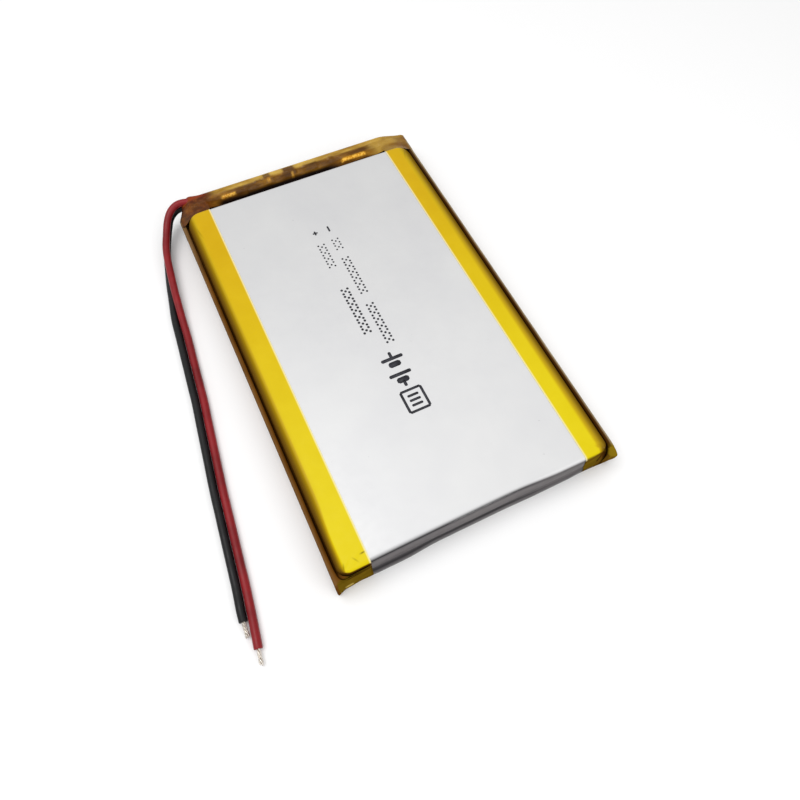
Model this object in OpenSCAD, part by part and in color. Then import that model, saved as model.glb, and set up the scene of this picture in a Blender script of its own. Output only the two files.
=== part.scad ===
// Lithium polymer pouch cell with a taped protection board and two bare-ended leads.
// It lies on its back: the drawn face is up, the leads leave at the far left corner (+Y, -X).

/* [Cell] */
// Width over the two folded side seals
cell_w = 55; // [50:1:60]
// Length from the corner ears to the taped board
cell_l = 89; // [86:1:92]
// Thickness over the edge tapes
cell_t = 7.3; // [7.1:0.1:7.6]

/* [Pouch film] */
// Thickness of one leaf of the laminated film
film_t = 0.15; // [0.1:0.01:0.18]
// Corner radius of the drawn cup, seen from above
cup_corner_r = 3; // [2.5:0.1:3.5]
// Radius of the shoulder between the cup's face and its walls
shoulder_r = 1.6; // [1.4:0.1:1.8]
// Height of the folded side seals
side_seal_h = 5.6; // [4.5:0.1:6]
// Width of the sealed terrace at the board end
terrace_w = 2.3; // [2:0.1:2.4]

/* [Electrodes] */
// Number of cathode plates
cathode_count = 17; // [10:1:17]
// Thickness of one coated plate
plate_t = 0.145; // [0.12:0.005:0.145]
// Thickness of the separator
separator_t = 0.025; // [0.015:0.005:0.025]
// Width of a terminal tab
tab_w = 5; // [3:0.5:6]
// Distance of a terminal tab from the middle
tab_x = 14; // [12:0.5:15]

/* [Protection board] */
// Left end of the board
board_x0 = -20; // [-20.5:0.5:-19]
// Right end of the board
board_x1 = 20; // [18:0.5:21]
// Height of the board as it stands
board_h = 5.7; // [5:0.1:5.8]
// Thickness of the board
board_t = 0.8; // [0.6:0.1:0.8]

/* [Tapes] */
// Thickness of every tape
tape_t = 0.08; // [0.05:0.01:0.08]
// Width of white face between the two edge tapes
face_w = 41.3; // [38:0.1:44]

/* [Leads] */
// Outer diameter of a lead
lead_d = 1.5; // [1.2:0.1:1.5]
// Diameter of the tinned strands
strand_d = 0.7; // [0.5:0.1:0.8]
// Length of bare strands at a lead's end
bare_l = 2.6; // [2:0.1:4]

/* [Hidden] */
$fn = 32;

// Clearance between pieces that touch, and a margin that carries a cut through a wall
gap = 0.01;
cut = 1;

half_w = cell_w / 2;
half_l = cell_l / 2;
face_x = face_w / 2;

// The film's levels: the tapes are flush with the bare back, and proud of the face
back_z = tape_t + gap;
floor_z = 0.23;
cup_top = cell_t - tape_t - 2 * gap;

// The cup's outer walls
cup_x = half_w - 1.4;
cup_y0 = -half_l + 1.2;
cup_y1 = half_l - 4.4;
film_y1 = cup_y1 + terrace_w;

// The side seal is two welded leaves, turned up and hemmed inwards
seal_t = 2 * film_t;
seal_x = half_w - tape_t - 4 * gap;
hem_depth = 2.6;
hem_gap = 0.08;
ear_h = 4;
ear_reach = 3.6;

// Electrode stack, from the lowest anode up
pitch = plate_t + separator_t + 2 * gap;
stack_z = floor_z + 0.05;
anode_x = 24.2;
overhang = 0.5;
separator_x = anode_x + overhang;
stack_y0 = -half_l + 2.3;
stack_y1 = half_l - 8.5;
foil_t = 0.012;
foil_knee_y = stack_y1 + 0.4;
weld_y0 = stack_y1 + 1.8;
weld_y1 = weld_y0 + 1;
stack_top = stack_z + 2 * cathode_count * pitch + plate_t;

// Terminal tabs, lying between the leaves and turned up against the board
tab_t = 0.12;
sealant_t = 0.06;
sealant_margin = 1;
channel_h = 0.25;
tab_z = floor_z + sealant_t + gap / 2;
tab_y1 = half_l - 1.32;
tab_top = 4.6;

// The board stands on its long edge, with its components towards the cell
board_y = half_l - 1.15;
board_z = 0.9;
strap_t = 0.15;
strap_z = 1.6;
strap_h = 3.4;
paper_t = 0.12;
paper_y = board_y + board_t + 0.05;

// The board's tape: its open left end lets the leads out
wrap_x0 = -22.5;
wrap_y0 = half_l - 2.5;
wrap_top = cell_t - 0.15;
wrap_shoulder_x = board_x1 + 1;
wrap_corner_z = 5.75;
back_flap_y = half_l - 7.5;

// Where the leads reach the board, and their routes to the bare ends
red_z = 5.9;
black_z = 4.2;
lead_y = board_y - strand_d / 2 - gap;
lead_x = board_x0 - 0.4;
stub_l = 2.8;
tube_sides = 8;

red_route = [[lead_x, lead_y, red_z], [-22, 43.4, 6], [-23.6, 44.1, 6.1], [-25.2, 44.7, 6.1],
    [-26.8, 44.9, 5.8], [-28.2, 44.4, 5.3], [-29.3, 43.4, 4.7], [-30.2, 42, 4.1],
    [-31.1, 40, 3.5], [-32.1, 37.4, 3], [-32.8, 34.4, 2.6], [-33.2, 31.5, 2.4],
    [-33.6, 28.5, 2.2], [-34, 25, 1.9], [-34.5, 20, 1.3], [-34.9, 15, 0.9],
    [-35.4, 10, 0.8], [-35.9, 5, 0.8], [-36.4, 0, 0.8], [-37, -4.5, 0.8],
    [-37.6, -9, 0.8], [-38.2, -13.5, 0.8], [-38.8, -18, 0.8], [-39.3, -22.5, 0.8],
    [-39.8, -27, 0.8], [-40.3, -31.5, 0.8], [-40.8, -36, 0.8], [-41.4, -40.5, 0.8],
    [-42, -44.5, 0.8], [-42.3, -46.4, 0.8]];
black_route = [[lead_x, lead_y, black_z], [-22, 43.3, 4.3], [-23.6, 44, 4.5], [-25.2, 44.8, 4.5],
    [-26.7, 45.2, 4.2], [-28, 45, 3.7], [-29.1, 44.2, 3.2], [-30, 42.8, 2.6],
    [-31, 40.8, 2], [-32.1, 38.2, 1.4], [-33, 35.3, 1], [-33.7, 32.4, 0.8],
    [-34.4, 29.2, 0.8], [-35.1, 25.2, 0.8], [-36, 20.1, 0.8], [-36.5, 15, 0.8],
    [-37, 10, 0.8], [-37.5, 5, 0.8], [-38, 0, 0.8], [-38.6, -4.5, 0.8],
    [-39.2, -9, 0.8], [-39.8, -13.5, 0.8], [-40.4, -18, 0.8], [-40.9, -22.5, 0.8],
    [-41.4, -27, 0.8], [-41.9, -31.5, 0.8], [-42.4, -36, 0.8], [-42.9, -39.5, 0.8],
    [-43.1, -41.5, 0.8]];

// ---- Shared shapes ----

// A box from its lowest to its highest corner
module block(low, high) {
    translate(low) cube(high - low);
}

// A profile drawn in X and Z, drawn out along Y
module along_y(y0, y1) {
    translate([0, y1, 0]) rotate([90, 0, 0]) linear_extrude(y1 - y0) children();
}

// A profile drawn in Y and Z, drawn out along X
module along_x(x0, x1) {
    translate([x0, 0, 0]) rotate([90, 0, 90]) linear_extrude(x1 - x0) children();
}

// The shape of the drawn cup, grown by a distance on every side and open downwards to z0
module cup_form(grow, z0) {
    plan_r = cup_corner_r + grow;
    top_r = shoulder_r + grow;
    top = cup_top + grow;
    hull()
        for (x = [-cup_x + cup_corner_r, cup_x - cup_corner_r],
             y = [cup_y0 + cup_corner_r, cup_y1 - cup_corner_r])
            translate([x, y, 0]) {
                translate([0, 0, z0]) cylinder(r = plan_r, h = top - top_r - z0);
                translate([0, 0, top - top_r]) rotate_extrude() intersection() {
                    translate([plan_r - top_r, 0]) circle(r = top_r);
                    square([plan_r, top_r]);
                }
            }
}

// ---- Pouch film ----

// The upper leaf: the drawn cup, and its share of the terrace with a rise over each tab
module pouch_cup() {
    rise_x = tab_w / 2 + sealant_margin + 2 * gap;
    color("gainsboro") difference() {
        union() {
            difference() {
                cup_form(0, floor_z + gap);
                cup_form(-film_t, -cut);
            }
            block([-cup_x + cup_corner_r, cup_y1 - film_t, floor_z + gap],
                [cup_x - cup_corner_r, film_y1, floor_z + gap + film_t]);
            for (x = [-tab_x, tab_x])
                block([x - rise_x - film_t, cup_y1 - film_t, floor_z + gap],
                    [x + rise_x + film_t, film_y1, floor_z + channel_h + film_t]);
        }
        for (x = [-tab_x, tab_x])
            block([x - rise_x, cup_y1 - 2 * film_t, -cut],
                [x + rise_x, film_y1 + cut, floor_z + channel_h]);
    }
}

// The lower leaf: flat, and thinner-looking where the tapes lie under it
module pouch_base() {
    color("lightgray") difference() {
        along_y(cup_y0, film_y1) polygon([[-face_x, 0], [face_x, 0], [face_x, back_z],
            [cup_x, back_z], [cup_x, floor_z], [-cup_x, floor_z], [-cup_x, back_z],
            [-face_x, back_z]]);
        block([-half_w, back_flap_y - gap, -cut], [half_w, half_l, back_z]);
    }
}

// The folded side seal on the right, with the ear that the bottom fold leaves at the corner
module side_seal() {
    inner_x = seal_x - 2 * seal_t - hem_gap;
    base_top = back_z + seal_t;
    difference() {
        union() {
            along_y(cup_y0, film_y1) polygon([[cup_x + gap, back_z], [seal_x, back_z],
                [seal_x, side_seal_h], [inner_x, side_seal_h],
                [inner_x, side_seal_h - hem_depth], [inner_x + seal_t, side_seal_h - hem_depth],
                [inner_x + seal_t, side_seal_h - seal_t], [seal_x - seal_t, side_seal_h - seal_t],
                [seal_x - seal_t, base_top], [cup_x + gap, base_top]]);
            translate([0, 0, back_z]) linear_extrude(ear_h) polygon([
                [seal_x, cup_y0 + cup_corner_r], [seal_x, -half_l + tape_t + gap],
                [seal_x - ear_reach, cup_y0 - gap], [cup_x - cup_corner_r, cup_y0 + cup_corner_r]]);
        }
        cup_form(gap, -cut);
    }
}

module side_seal_left() {
    color("tan") mirror([1, 0, 0]) side_seal();
}

module side_seal_right() {
    color("tan") side_seal();
}

// ---- Edge tapes ----

// Points of the tape's bend over the shoulder, at a distance from the film's face
function shoulder_arc(grow) = [for (a = [90:-10:30])
    [cup_x - shoulder_r + (shoulder_r + grow) * cos(a),
     cup_top - shoulder_r + (shoulder_r + grow) * sin(a)]];

// The right tape: over the shoulder, across the crevice, down the seal and under the back
module edge_tape() {
    inner = 2 * gap;
    outer = inner + tape_t;
    skin_x = half_w - tape_t;
    corner_z = side_seal_h + gap;
    along_y(cup_y0 + cup_corner_r, wrap_y0 - gap) polygon(concat(
        [[face_x + gap, cup_top + inner], [face_x + gap, cell_t]],
        shoulder_arc(outer),
        [[half_w, corner_z + tape_t], [half_w, 0], [face_x + gap, 0], [face_x + gap, tape_t],
         [skin_x, tape_t], [skin_x, corner_z]],
        [for (i = [6:-1:0]) shoulder_arc(inner)[i]]));
    difference() {
        intersection() {
            difference() {
                cup_form(outer, 0);
                cup_form(inner, -cut);
            }
            block([face_x + gap, -half_l, 0],
                [half_w, cup_y0 + cup_corner_r + cut, cell_t]);
        }
        block([cup_x - cup_corner_r, cup_y0, 0], [half_w, cup_y0 + cup_corner_r, corner_z]);
        block([seal_x - ear_reach - gap, -half_l, 0],
            [half_w, cup_y0 + cup_corner_r, back_z + ear_h + gap]);
    }
    block([skin_x, -half_l, 0], [half_w, cup_y0 + cup_corner_r, ear_h + back_z]);
}

module edge_tape_left() {
    color("gold") mirror([1, 0, 0]) edge_tape();
}

module edge_tape_right() {
    color("gold") edge_tape();
}

// ---- Electrode stack ----

function plate_z(i) = stack_z + i * pitch;

// One plate: its coated sheet, and a foil tongue that runs down to the weld on the tab
module plate(i, inset, x, rank) {
    z = plate_z(i);
    foil_z = z + (plate_t - foil_t) / 2;
    weld_z = tab_z + tab_t + gap + rank * (foil_t + 0.003);
    block([-anode_x + inset, stack_y0 + inset, z], [anode_x - inset, stack_y1 - inset, z + plate_t]);
    along_x(x - tab_w / 2, x + tab_w / 2) polygon([[stack_y1 - inset, foil_z],
        [foil_knee_y, foil_z], [weld_y0, weld_z], [weld_y1, weld_z], [weld_y1, weld_z + foil_t],
        [weld_y0, weld_z + foil_t], [foil_knee_y, foil_z + foil_t],
        [stack_y1 - inset, foil_z + foil_t]]);
}

module cathode_plates() {
    color("dimgray") for (n = [0:cathode_count - 1]) plate(2 * n + 1, overhang, -tab_x, n);
}

module anode_plates() {
    color("sienna") for (n = [0:cathode_count]) plate(2 * n, 0, tab_x, n);
}

// One long separator, folded to and fro between the plates
module separator() {
    last = 2 * cathode_count - 1;
    x = separator_x;
    bend = x - separator_t;
    low = [for (k = [0:last]) plate_z(k) + plate_t + gap];
    high = [for (z = low) z + separator_t];
    bank_a = [for (k = [0:last - 1], end = [0, 1]) k % 2 == 0
        ? [x, end == 0 ? low[k] : high[k + 1]]
        : [-bend, end == 0 ? high[k] : low[k + 1]]];
    bank_b = [for (k = [last - 1:-1:0], end = [1, 0]) k % 2 == 0
        ? [bend, end == 0 ? high[k] : low[k + 1]]
        : [-x, end == 0 ? low[k] : high[k + 1]]];
    color("white") along_y(stack_y0 - overhang, foil_knee_y - gap) polygon(concat(
        [[-x, low[0]]], bank_a, [[-x, high[last]], [-x, low[last]]], bank_b, [[-x, high[0]]]));
}

// Short U-shaped tapes that hold the stack's long edges together
module stack_tapes() {
    thick = 0.03;
    reach = 6;
    width = 8;
    x = separator_x + gap;
    low = stack_z - gap;
    high = stack_top + gap;
    color("mediumseagreen") for (side = [0, 1], y = [-30, 18]) mirror([side, 0, 0])
        along_y(y, y + width) polygon([[x - reach, low], [x, low], [x, high], [x - reach, high],
            [x - reach, high + thick], [x + thick, high + thick], [x + thick, low - thick],
            [x - reach, low - thick]]);
}

// ---- Terminals ----

// A tab from the weld, out between the leaves and up against the board's strap
module terminal_tab(x) {
    along_x(x - tab_w / 2, x + tab_w / 2) polygon([[weld_y0, tab_z], [tab_y1, tab_z],
        [tab_y1, tab_top], [tab_y1 - tab_t, tab_top], [tab_y1 - tab_t, tab_z + tab_t],
        [weld_y0, tab_z + tab_t]]);
}

module positive_tab() {
    color("silver") terminal_tab(-tab_x);
}

module negative_tab() {
    color("darkgray") terminal_tab(tab_x);
}

// Two films on each tab, one above and one below, that seal it into the pouch
module tab_sealants() {
    half = tab_w / 2 + sealant_margin;
    color("black") for (x = [-tab_x, tab_x], z = [tab_z - sealant_t - gap / 4, tab_z + tab_t + gap / 4])
        block([x - half, cup_y1 - 0.5, z], [x + half, film_y1 + 0.1, z + sealant_t]);
}

// ---- Protection board ----

module circuit_board() {
    color("darkgreen") block([board_x0, board_y, board_z],
        [board_x1, board_y + board_t, board_z + board_h]);
}

// A moulded chip on the board's inner face, with its leads along Z on both sides
module chip(x, z, body_x, body_z, leads) {
    thick = 1;
    stand_off = 0.1;
    lead_w = 0.35;
    lead_reach = 0.6;
    face = board_y - gap;
    step = body_x / leads;
    block([x - body_x / 2, face - thick, z - body_z / 2],
        [x + body_x / 2, face - stand_off, z + body_z / 2]);
    for (n = [0:leads - 1], side = [-1, 1]) {
        lead_at = x + (n - (leads - 1) / 2) * step;
        foot = z + side * (body_z / 2 + lead_reach / 2);
        block([lead_at - lead_w / 2, face - thick / 2, foot - lead_reach / 2],
            [lead_at + lead_w / 2, face, foot + lead_reach / 2]);
    }
}

module protection_ic() {
    color("black") chip(-6.2, 3.8, 2.2, 1.6, 3);
}

module power_mosfets() {
    color("black") for (x = [-1.3, 3.6]) chip(x, 3.8, 3, 2.8, 4);
}

// Small ceramic bodies with a metal cap at each end, soldered flat on the board
module passive(x, z, length, width, thick) {
    block([x - length / 2, board_y - gap - thick, z - width / 2],
        [x + length / 2, board_y - gap, z + width / 2]);
}

module resistors() {
    color("dimgray") for (x = [-8.6, 8.6]) passive(x, 5.2, 1, 0.5, 0.35);
}

module capacitors() {
    color("peru") for (z = [2.4, 3.8]) passive(-8.6, z, 1, 0.5, 0.5);
}

// Nickel straps soldered to the board, to which the tabs are welded
module nickel_straps() {
    color("silver") for (x = [-tab_x, tab_x])
        block([x - tab_w / 2, board_y - gap - strap_t, strap_z],
            [x + tab_w / 2, board_y - gap, strap_z + strap_h]);
}

// Folded paper behind and under the board
module insulating_paper() {
    low = board_z - 0.05 - paper_t;
    color("honeydew") along_x(board_x0 - 0.3, board_x1 + 0.3) polygon([
        [board_y, low], [paper_y + paper_t, low], [paper_y + paper_t, board_z + board_h],
        [paper_y, board_z + board_h], [paper_y, low + paper_t], [board_y, low + paper_t]]);
}

// Double-sided pad that holds the board off the end of the cup, between the tabs
module adhesive_pad() {
    color("whitesmoke") block([-9, cup_y1 + 0.1, floor_z + film_t + 0.05],
        [9, cup_y1 + 1.8, 1.5]);
}

// ---- Board tape ----

// Outline of the taped end from behind, inset by a distance
function wrap_outline(inset) = [[wrap_x0, inset], [half_w - inset, inset],
    [half_w - inset, wrap_corner_z - inset], [wrap_shoulder_x - inset / 2, wrap_top - inset],
    [wrap_x0, wrap_top - inset]];

// The sleeve over the board, and its flap under the back
module board_tape() {
    color("darkgoldenrod") {
        difference() {
            along_y(wrap_y0, half_l) polygon(wrap_outline(0));
            along_y(wrap_y0 + tape_t, half_l - tape_t) polygon(wrap_outline(tape_t));
            block([wrap_x0 - cut, wrap_y0 + tape_t, tape_t],
                [wrap_x0 + cut, half_l - tape_t, wrap_top - tape_t]);
            block([-half_w, wrap_y0 - cut, tape_t], [half_w, wrap_y0 + tape_t + gap,
                back_z + seal_t + 1.2]);
            block([cup_x - cup_corner_r, wrap_y0 - cut, tape_t],
                [half_w - tape_t, wrap_y0 + tape_t + gap, side_seal_h + gap]);
        }
        block([-face_x + gap, back_flap_y, 0], [face_x - gap, wrap_y0 + tape_t, tape_t]);
    }
}

// ---- Leads ----

function unit(v) = v / norm(v);

// Direction of a route at a point, from its neighbours
function heading(route, i) =
    unit(route[min(i + 1, len(route) - 1)] - route[max(i - 1, 0)]);

// One ring of the tube, square to the route, with its first corner towards +Z
function ring(route, i, r) = let (
    along = heading(route, i),
    side = unit(cross(along, [0, 0, 1])),
    up = cross(side, along))
    [for (k = [0:tube_sides - 1]) let (a = 360 * k / tube_sides)
        route[i] + r * (cos(a) * up + sin(a) * side)];

// A tube with flat ends, swept along a route
module tube(route, d) {
    rings = len(route);
    n = tube_sides;
    points = [for (i = [0:rings - 1]) each ring(route, i, d / 2)];
    sides = [for (i = [0:rings - 2], k = [0:n - 1]) let (m = (k + 1) % n)
        each [[i * n + k, i * n + m, (i + 1) * n + k],
              [i * n + m, (i + 1) * n + m, (i + 1) * n + k]]];
    start = [for (k = [n - 1:-1:0]) k];
    end = [for (k = [0:n - 1]) (rings - 1) * n + k];
    polyhedron(points, concat(sides, [start, end]));
}

module red_lead() {
    color("firebrick") tube(red_route, lead_d);
}

module black_lead() {
    color("black") tube(black_route, lead_d);
}

// A short run of bare strands from a point, along a direction in the level plane
module strands(from, along, length) {
    translate(from) rotate([0, 90, atan2(along[1], along[0])])
        cylinder(d = strand_d, h = length);
}

// The bare strands of one lead: at its free end, and on the board's pad
module bare_ends(route) {
    last = len(route) - 1;
    out = heading(route, last);
    strands(route[last] + gap * out, out, bare_l);
    strands(route[0] + [gap, 0, 0], [1, 0, 0], stub_l);
}

module red_strands() {
    color("silver") bare_ends(red_route);
}

module black_strands() {
    color("silver") bare_ends(black_route);
}

// The fillets of solder over the strands on the board's pads
module solder_joints() {
    joint_r = 0.75;
    joint_l = 1.8;
    color("lightgray") for (z = [red_z, black_z]) difference() {
        translate([lead_x + 0.8, board_y - gap, z]) rotate([0, 90, 0])
            cylinder(r = joint_r, h = joint_l);
        block([board_x0 - cut, board_y - gap, 0], [board_x1, half_l + cut, cell_t]);
        translate([lead_x, lead_y, z]) rotate([0, 90, 0])
            cylinder(d = strand_d + gap, h = stub_l + cut);
    }
}

pouch_cup();
pouch_base();
side_seal_left();
side_seal_right();
edge_tape_left();
edge_tape_right();
board_tape();
cathode_plates();
anode_plates();
separator();
stack_tapes();
positive_tab();
negative_tab();
tab_sealants();
circuit_board();
protection_ic();
power_mosfets();
resistors();
capacitors();
nickel_straps();
insulating_paper();
adhesive_pad();
solder_joints();
red_lead();
black_lead();
red_strands();
black_strands();
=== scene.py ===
"""Lithium polymer pouch cell, lying on a pale floor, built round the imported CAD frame.

Shapes are worked out in millimetres and stored in metres. X runs across the cell, Y towards the
protection board, Z up. The camera and the leads come first, then the pouch, the tapes, the print
and the finishes.
"""

import math

import bmesh
import bpy
import numpy as np
from mathutils import Matrix, Vector, noise


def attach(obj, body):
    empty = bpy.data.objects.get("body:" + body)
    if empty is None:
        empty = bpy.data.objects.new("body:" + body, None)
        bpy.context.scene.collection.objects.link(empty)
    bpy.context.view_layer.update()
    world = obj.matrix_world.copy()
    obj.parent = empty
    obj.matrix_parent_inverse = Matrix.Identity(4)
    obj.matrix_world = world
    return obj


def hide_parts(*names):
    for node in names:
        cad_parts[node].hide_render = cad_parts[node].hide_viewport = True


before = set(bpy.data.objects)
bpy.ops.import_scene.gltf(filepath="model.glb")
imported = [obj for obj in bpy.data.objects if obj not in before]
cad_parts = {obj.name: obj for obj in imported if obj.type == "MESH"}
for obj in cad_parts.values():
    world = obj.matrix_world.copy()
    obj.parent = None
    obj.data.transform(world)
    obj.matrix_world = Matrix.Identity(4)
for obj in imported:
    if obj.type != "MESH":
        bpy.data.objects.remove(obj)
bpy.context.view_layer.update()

MM = 0.001


def added(name, data):
    """A new object that holds some data, linked into the scene."""
    thing = bpy.data.objects.new(name, data)
    bpy.context.scene.collection.objects.link(thing)
    return thing


# ---- Camera ----

CAM_AIM = (-2.1, -15.6, 0.0)
CAM_DISTANCE = 120.4
CAM_AZIMUTH = -28.24
CAM_ELEVATION = 63.58
CAM_ROLL = 2.66
CAM_LENS = 27.8
CAM_SENSOR = 36.0


def aim_camera():
    """The photograph's view: from high over the near end, turned to the left and rolled a little."""
    azimuth, elevation, roll = map(math.radians, (CAM_AZIMUTH, CAM_ELEVATION, CAM_ROLL))
    forward = Vector(
        (
            -math.sin(azimuth) * math.cos(elevation),
            math.cos(azimuth) * math.cos(elevation),
            -math.sin(elevation),
        )
    )
    level = Vector((math.cos(azimuth), math.sin(azimuth), 0))
    above = level.cross(forward)
    right = math.cos(roll) * level + math.sin(roll) * above
    up = right.cross(forward)
    data = bpy.data.cameras.new("camera")
    data.lens, data.sensor_width = CAM_LENS, CAM_SENSOR
    data.clip_start, data.clip_end = 0.005, 10
    camera = added("camera", data)
    camera.matrix_world = Matrix.Translation(
        (Vector(CAM_AIM) - forward * CAM_DISTANCE) * MM
    ) @ Matrix((right, up, -forward)).transposed().to_4x4()
    bpy.context.scene.camera = camera


aim_camera()

# ---- Mesh tools ----


def smoothstep(low, high, x):
    """0 below low to 1 above high with a smooth rise between, or the reverse when low is above high."""
    t = np.clip((np.asarray(x, float) - low) / (high - low), 0, 1)
    return t * t * (3 - 2 * t)


def ease(low, high, x):
    """smoothstep of one number, as a plain float."""
    return float(smoothstep(low, high, x))


def band(value, low, high, soft):
    """1 between low and high and 0 outside, with soft edges."""
    return smoothstep(low - soft, low + soft, value) * smoothstep(high + soft, high - soft, value)


def curve_through(points, steps_between):
    """A smooth curve through some points, with steps_between(b, c) points from each to the next."""
    ends = [2 * points[0] - points[1], *points, 2 * points[-1] - points[-2]]
    found = []
    for a, b, c, d in zip(ends, ends[1:], ends[2:], ends[3:]):
        count = steps_between(b, c)
        for k in range(count):
            t = k / count
            found.append(
                0.5 * (2 * b + (c - a) * t + (2 * a - 5 * b + 4 * c - d) * t * t
                       + (3 * b - a - 3 * c + d) * t ** 3)
            )
    return [*found, points[-1]]


def grid_faces(rows, cols, closed=False):
    """Quads of a grid of points stored row by row; closed joins the last column to the first."""
    last = cols if closed else cols - 1
    return [
        (r * cols + c, r * cols + (c + 1) % cols, (r + 1) * cols + (c + 1) % cols, (r + 1) * cols + c)
        for r in range(rows - 1)
        for c in range(last)
    ]


def piece(name, points, faces, materials, body="root", outward=True):
    """A smooth-shaded mesh object from points in millimetres, which rides on a body."""
    mesh = bpy.data.meshes.new(name)
    mesh.from_pydata([tuple(float(v) * MM for v in p) for p in points], [], faces)
    mesh.validate()
    bm = bmesh.new()
    bm.from_mesh(mesh)
    bmesh.ops.remove_doubles(bm, verts=bm.verts, dist=1e-7)
    bmesh.ops.dissolve_degenerate(bm, edges=bm.edges, dist=1e-7)
    if outward:
        bmesh.ops.recalc_face_normals(bm, faces=bm.faces)
    bm.to_mesh(mesh)
    bm.free()
    mesh.shade_smooth()
    for material in materials:
        mesh.materials.append(material)
    thing = added(name, mesh)
    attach(thing, body)
    return thing


def thicken(thing, thickness):
    """Gives an open surface its thickness, inwards from the face that shows, with crisp rims."""
    solid = thing.modifiers.new("thickness", "SOLIDIFY")
    solid.thickness = thickness * MM
    solid.offset = -1
    solid.use_even_offset = False
    made = thing.evaluated_get(bpy.context.evaluated_depsgraph_get())
    thick = bpy.data.meshes.new_from_object(made)
    thing.modifiers.clear()
    thing.data = thick
    thick.set_sharp_from_angle(angle=math.radians(55))


def face_up(thing, towards=(0, 0, 1)):
    """Turns an open surface's normals so that most of them point a given way."""
    mesh = thing.data
    total = sum((p.normal * p.area for p in mesh.polygons), Vector())
    if total.dot(Vector(towards)) < 0:
        mesh.flip_normals()


def keep_beyond(points, faces, x_limit):
    """The part of a surface on the outer side of x_limit, cut clean along it."""
    bm = bmesh.new()
    made = [bm.verts.new(tuple(p)) for p in points]
    for face in faces:
        corners = list(dict.fromkeys(face))
        if len(corners) > 2:
            bm.faces.new([made[i] for i in corners])
    side = 1 if x_limit > 0 else -1
    geometry = bm.verts[:] + bm.edges[:] + bm.faces[:]
    bmesh.ops.bisect_plane(
        bm,
        geom=geometry,
        dist=1e-5,
        plane_co=(x_limit, 0, 0),
        plane_no=(side, 0, 0),
        clear_inner=True,
    )
    bm.verts.index_update()
    kept = [tuple(v.co) for v in bm.verts]
    kept_faces = [tuple(v.index for v in f.verts) for f in bm.faces]
    bm.free()
    return kept, kept_faces


def joined(*parts):
    """Several (points, faces) as one."""
    points, faces = [], []
    for more_points, more_faces in parts:
        base = len(points)
        points += [tuple(p) for p in more_points]
        faces += [tuple(i + base for i in f) for f in more_faces]
    return points, faces


def paint(thing, name, rule):
    """A number on each point, from a rule of its place in millimetres."""
    mesh = thing.data
    layer = mesh.attributes.new(name, "FLOAT", "POINT")
    places = np.array([v.co[:] for v in mesh.vertices]) / MM
    values = rule(places[:, 0], places[:, 1], places[:, 2])
    layer.data.foreach_set("value", np.asarray(values, np.float32))


def second_finish(thing, rule):
    """Gives a piece's second material to the faces that a rule of their place picks."""
    for face in thing.data.polygons:
        if rule(*(face.center / MM)):
            face.material_index = 1


# ---- Finishes ----


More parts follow.
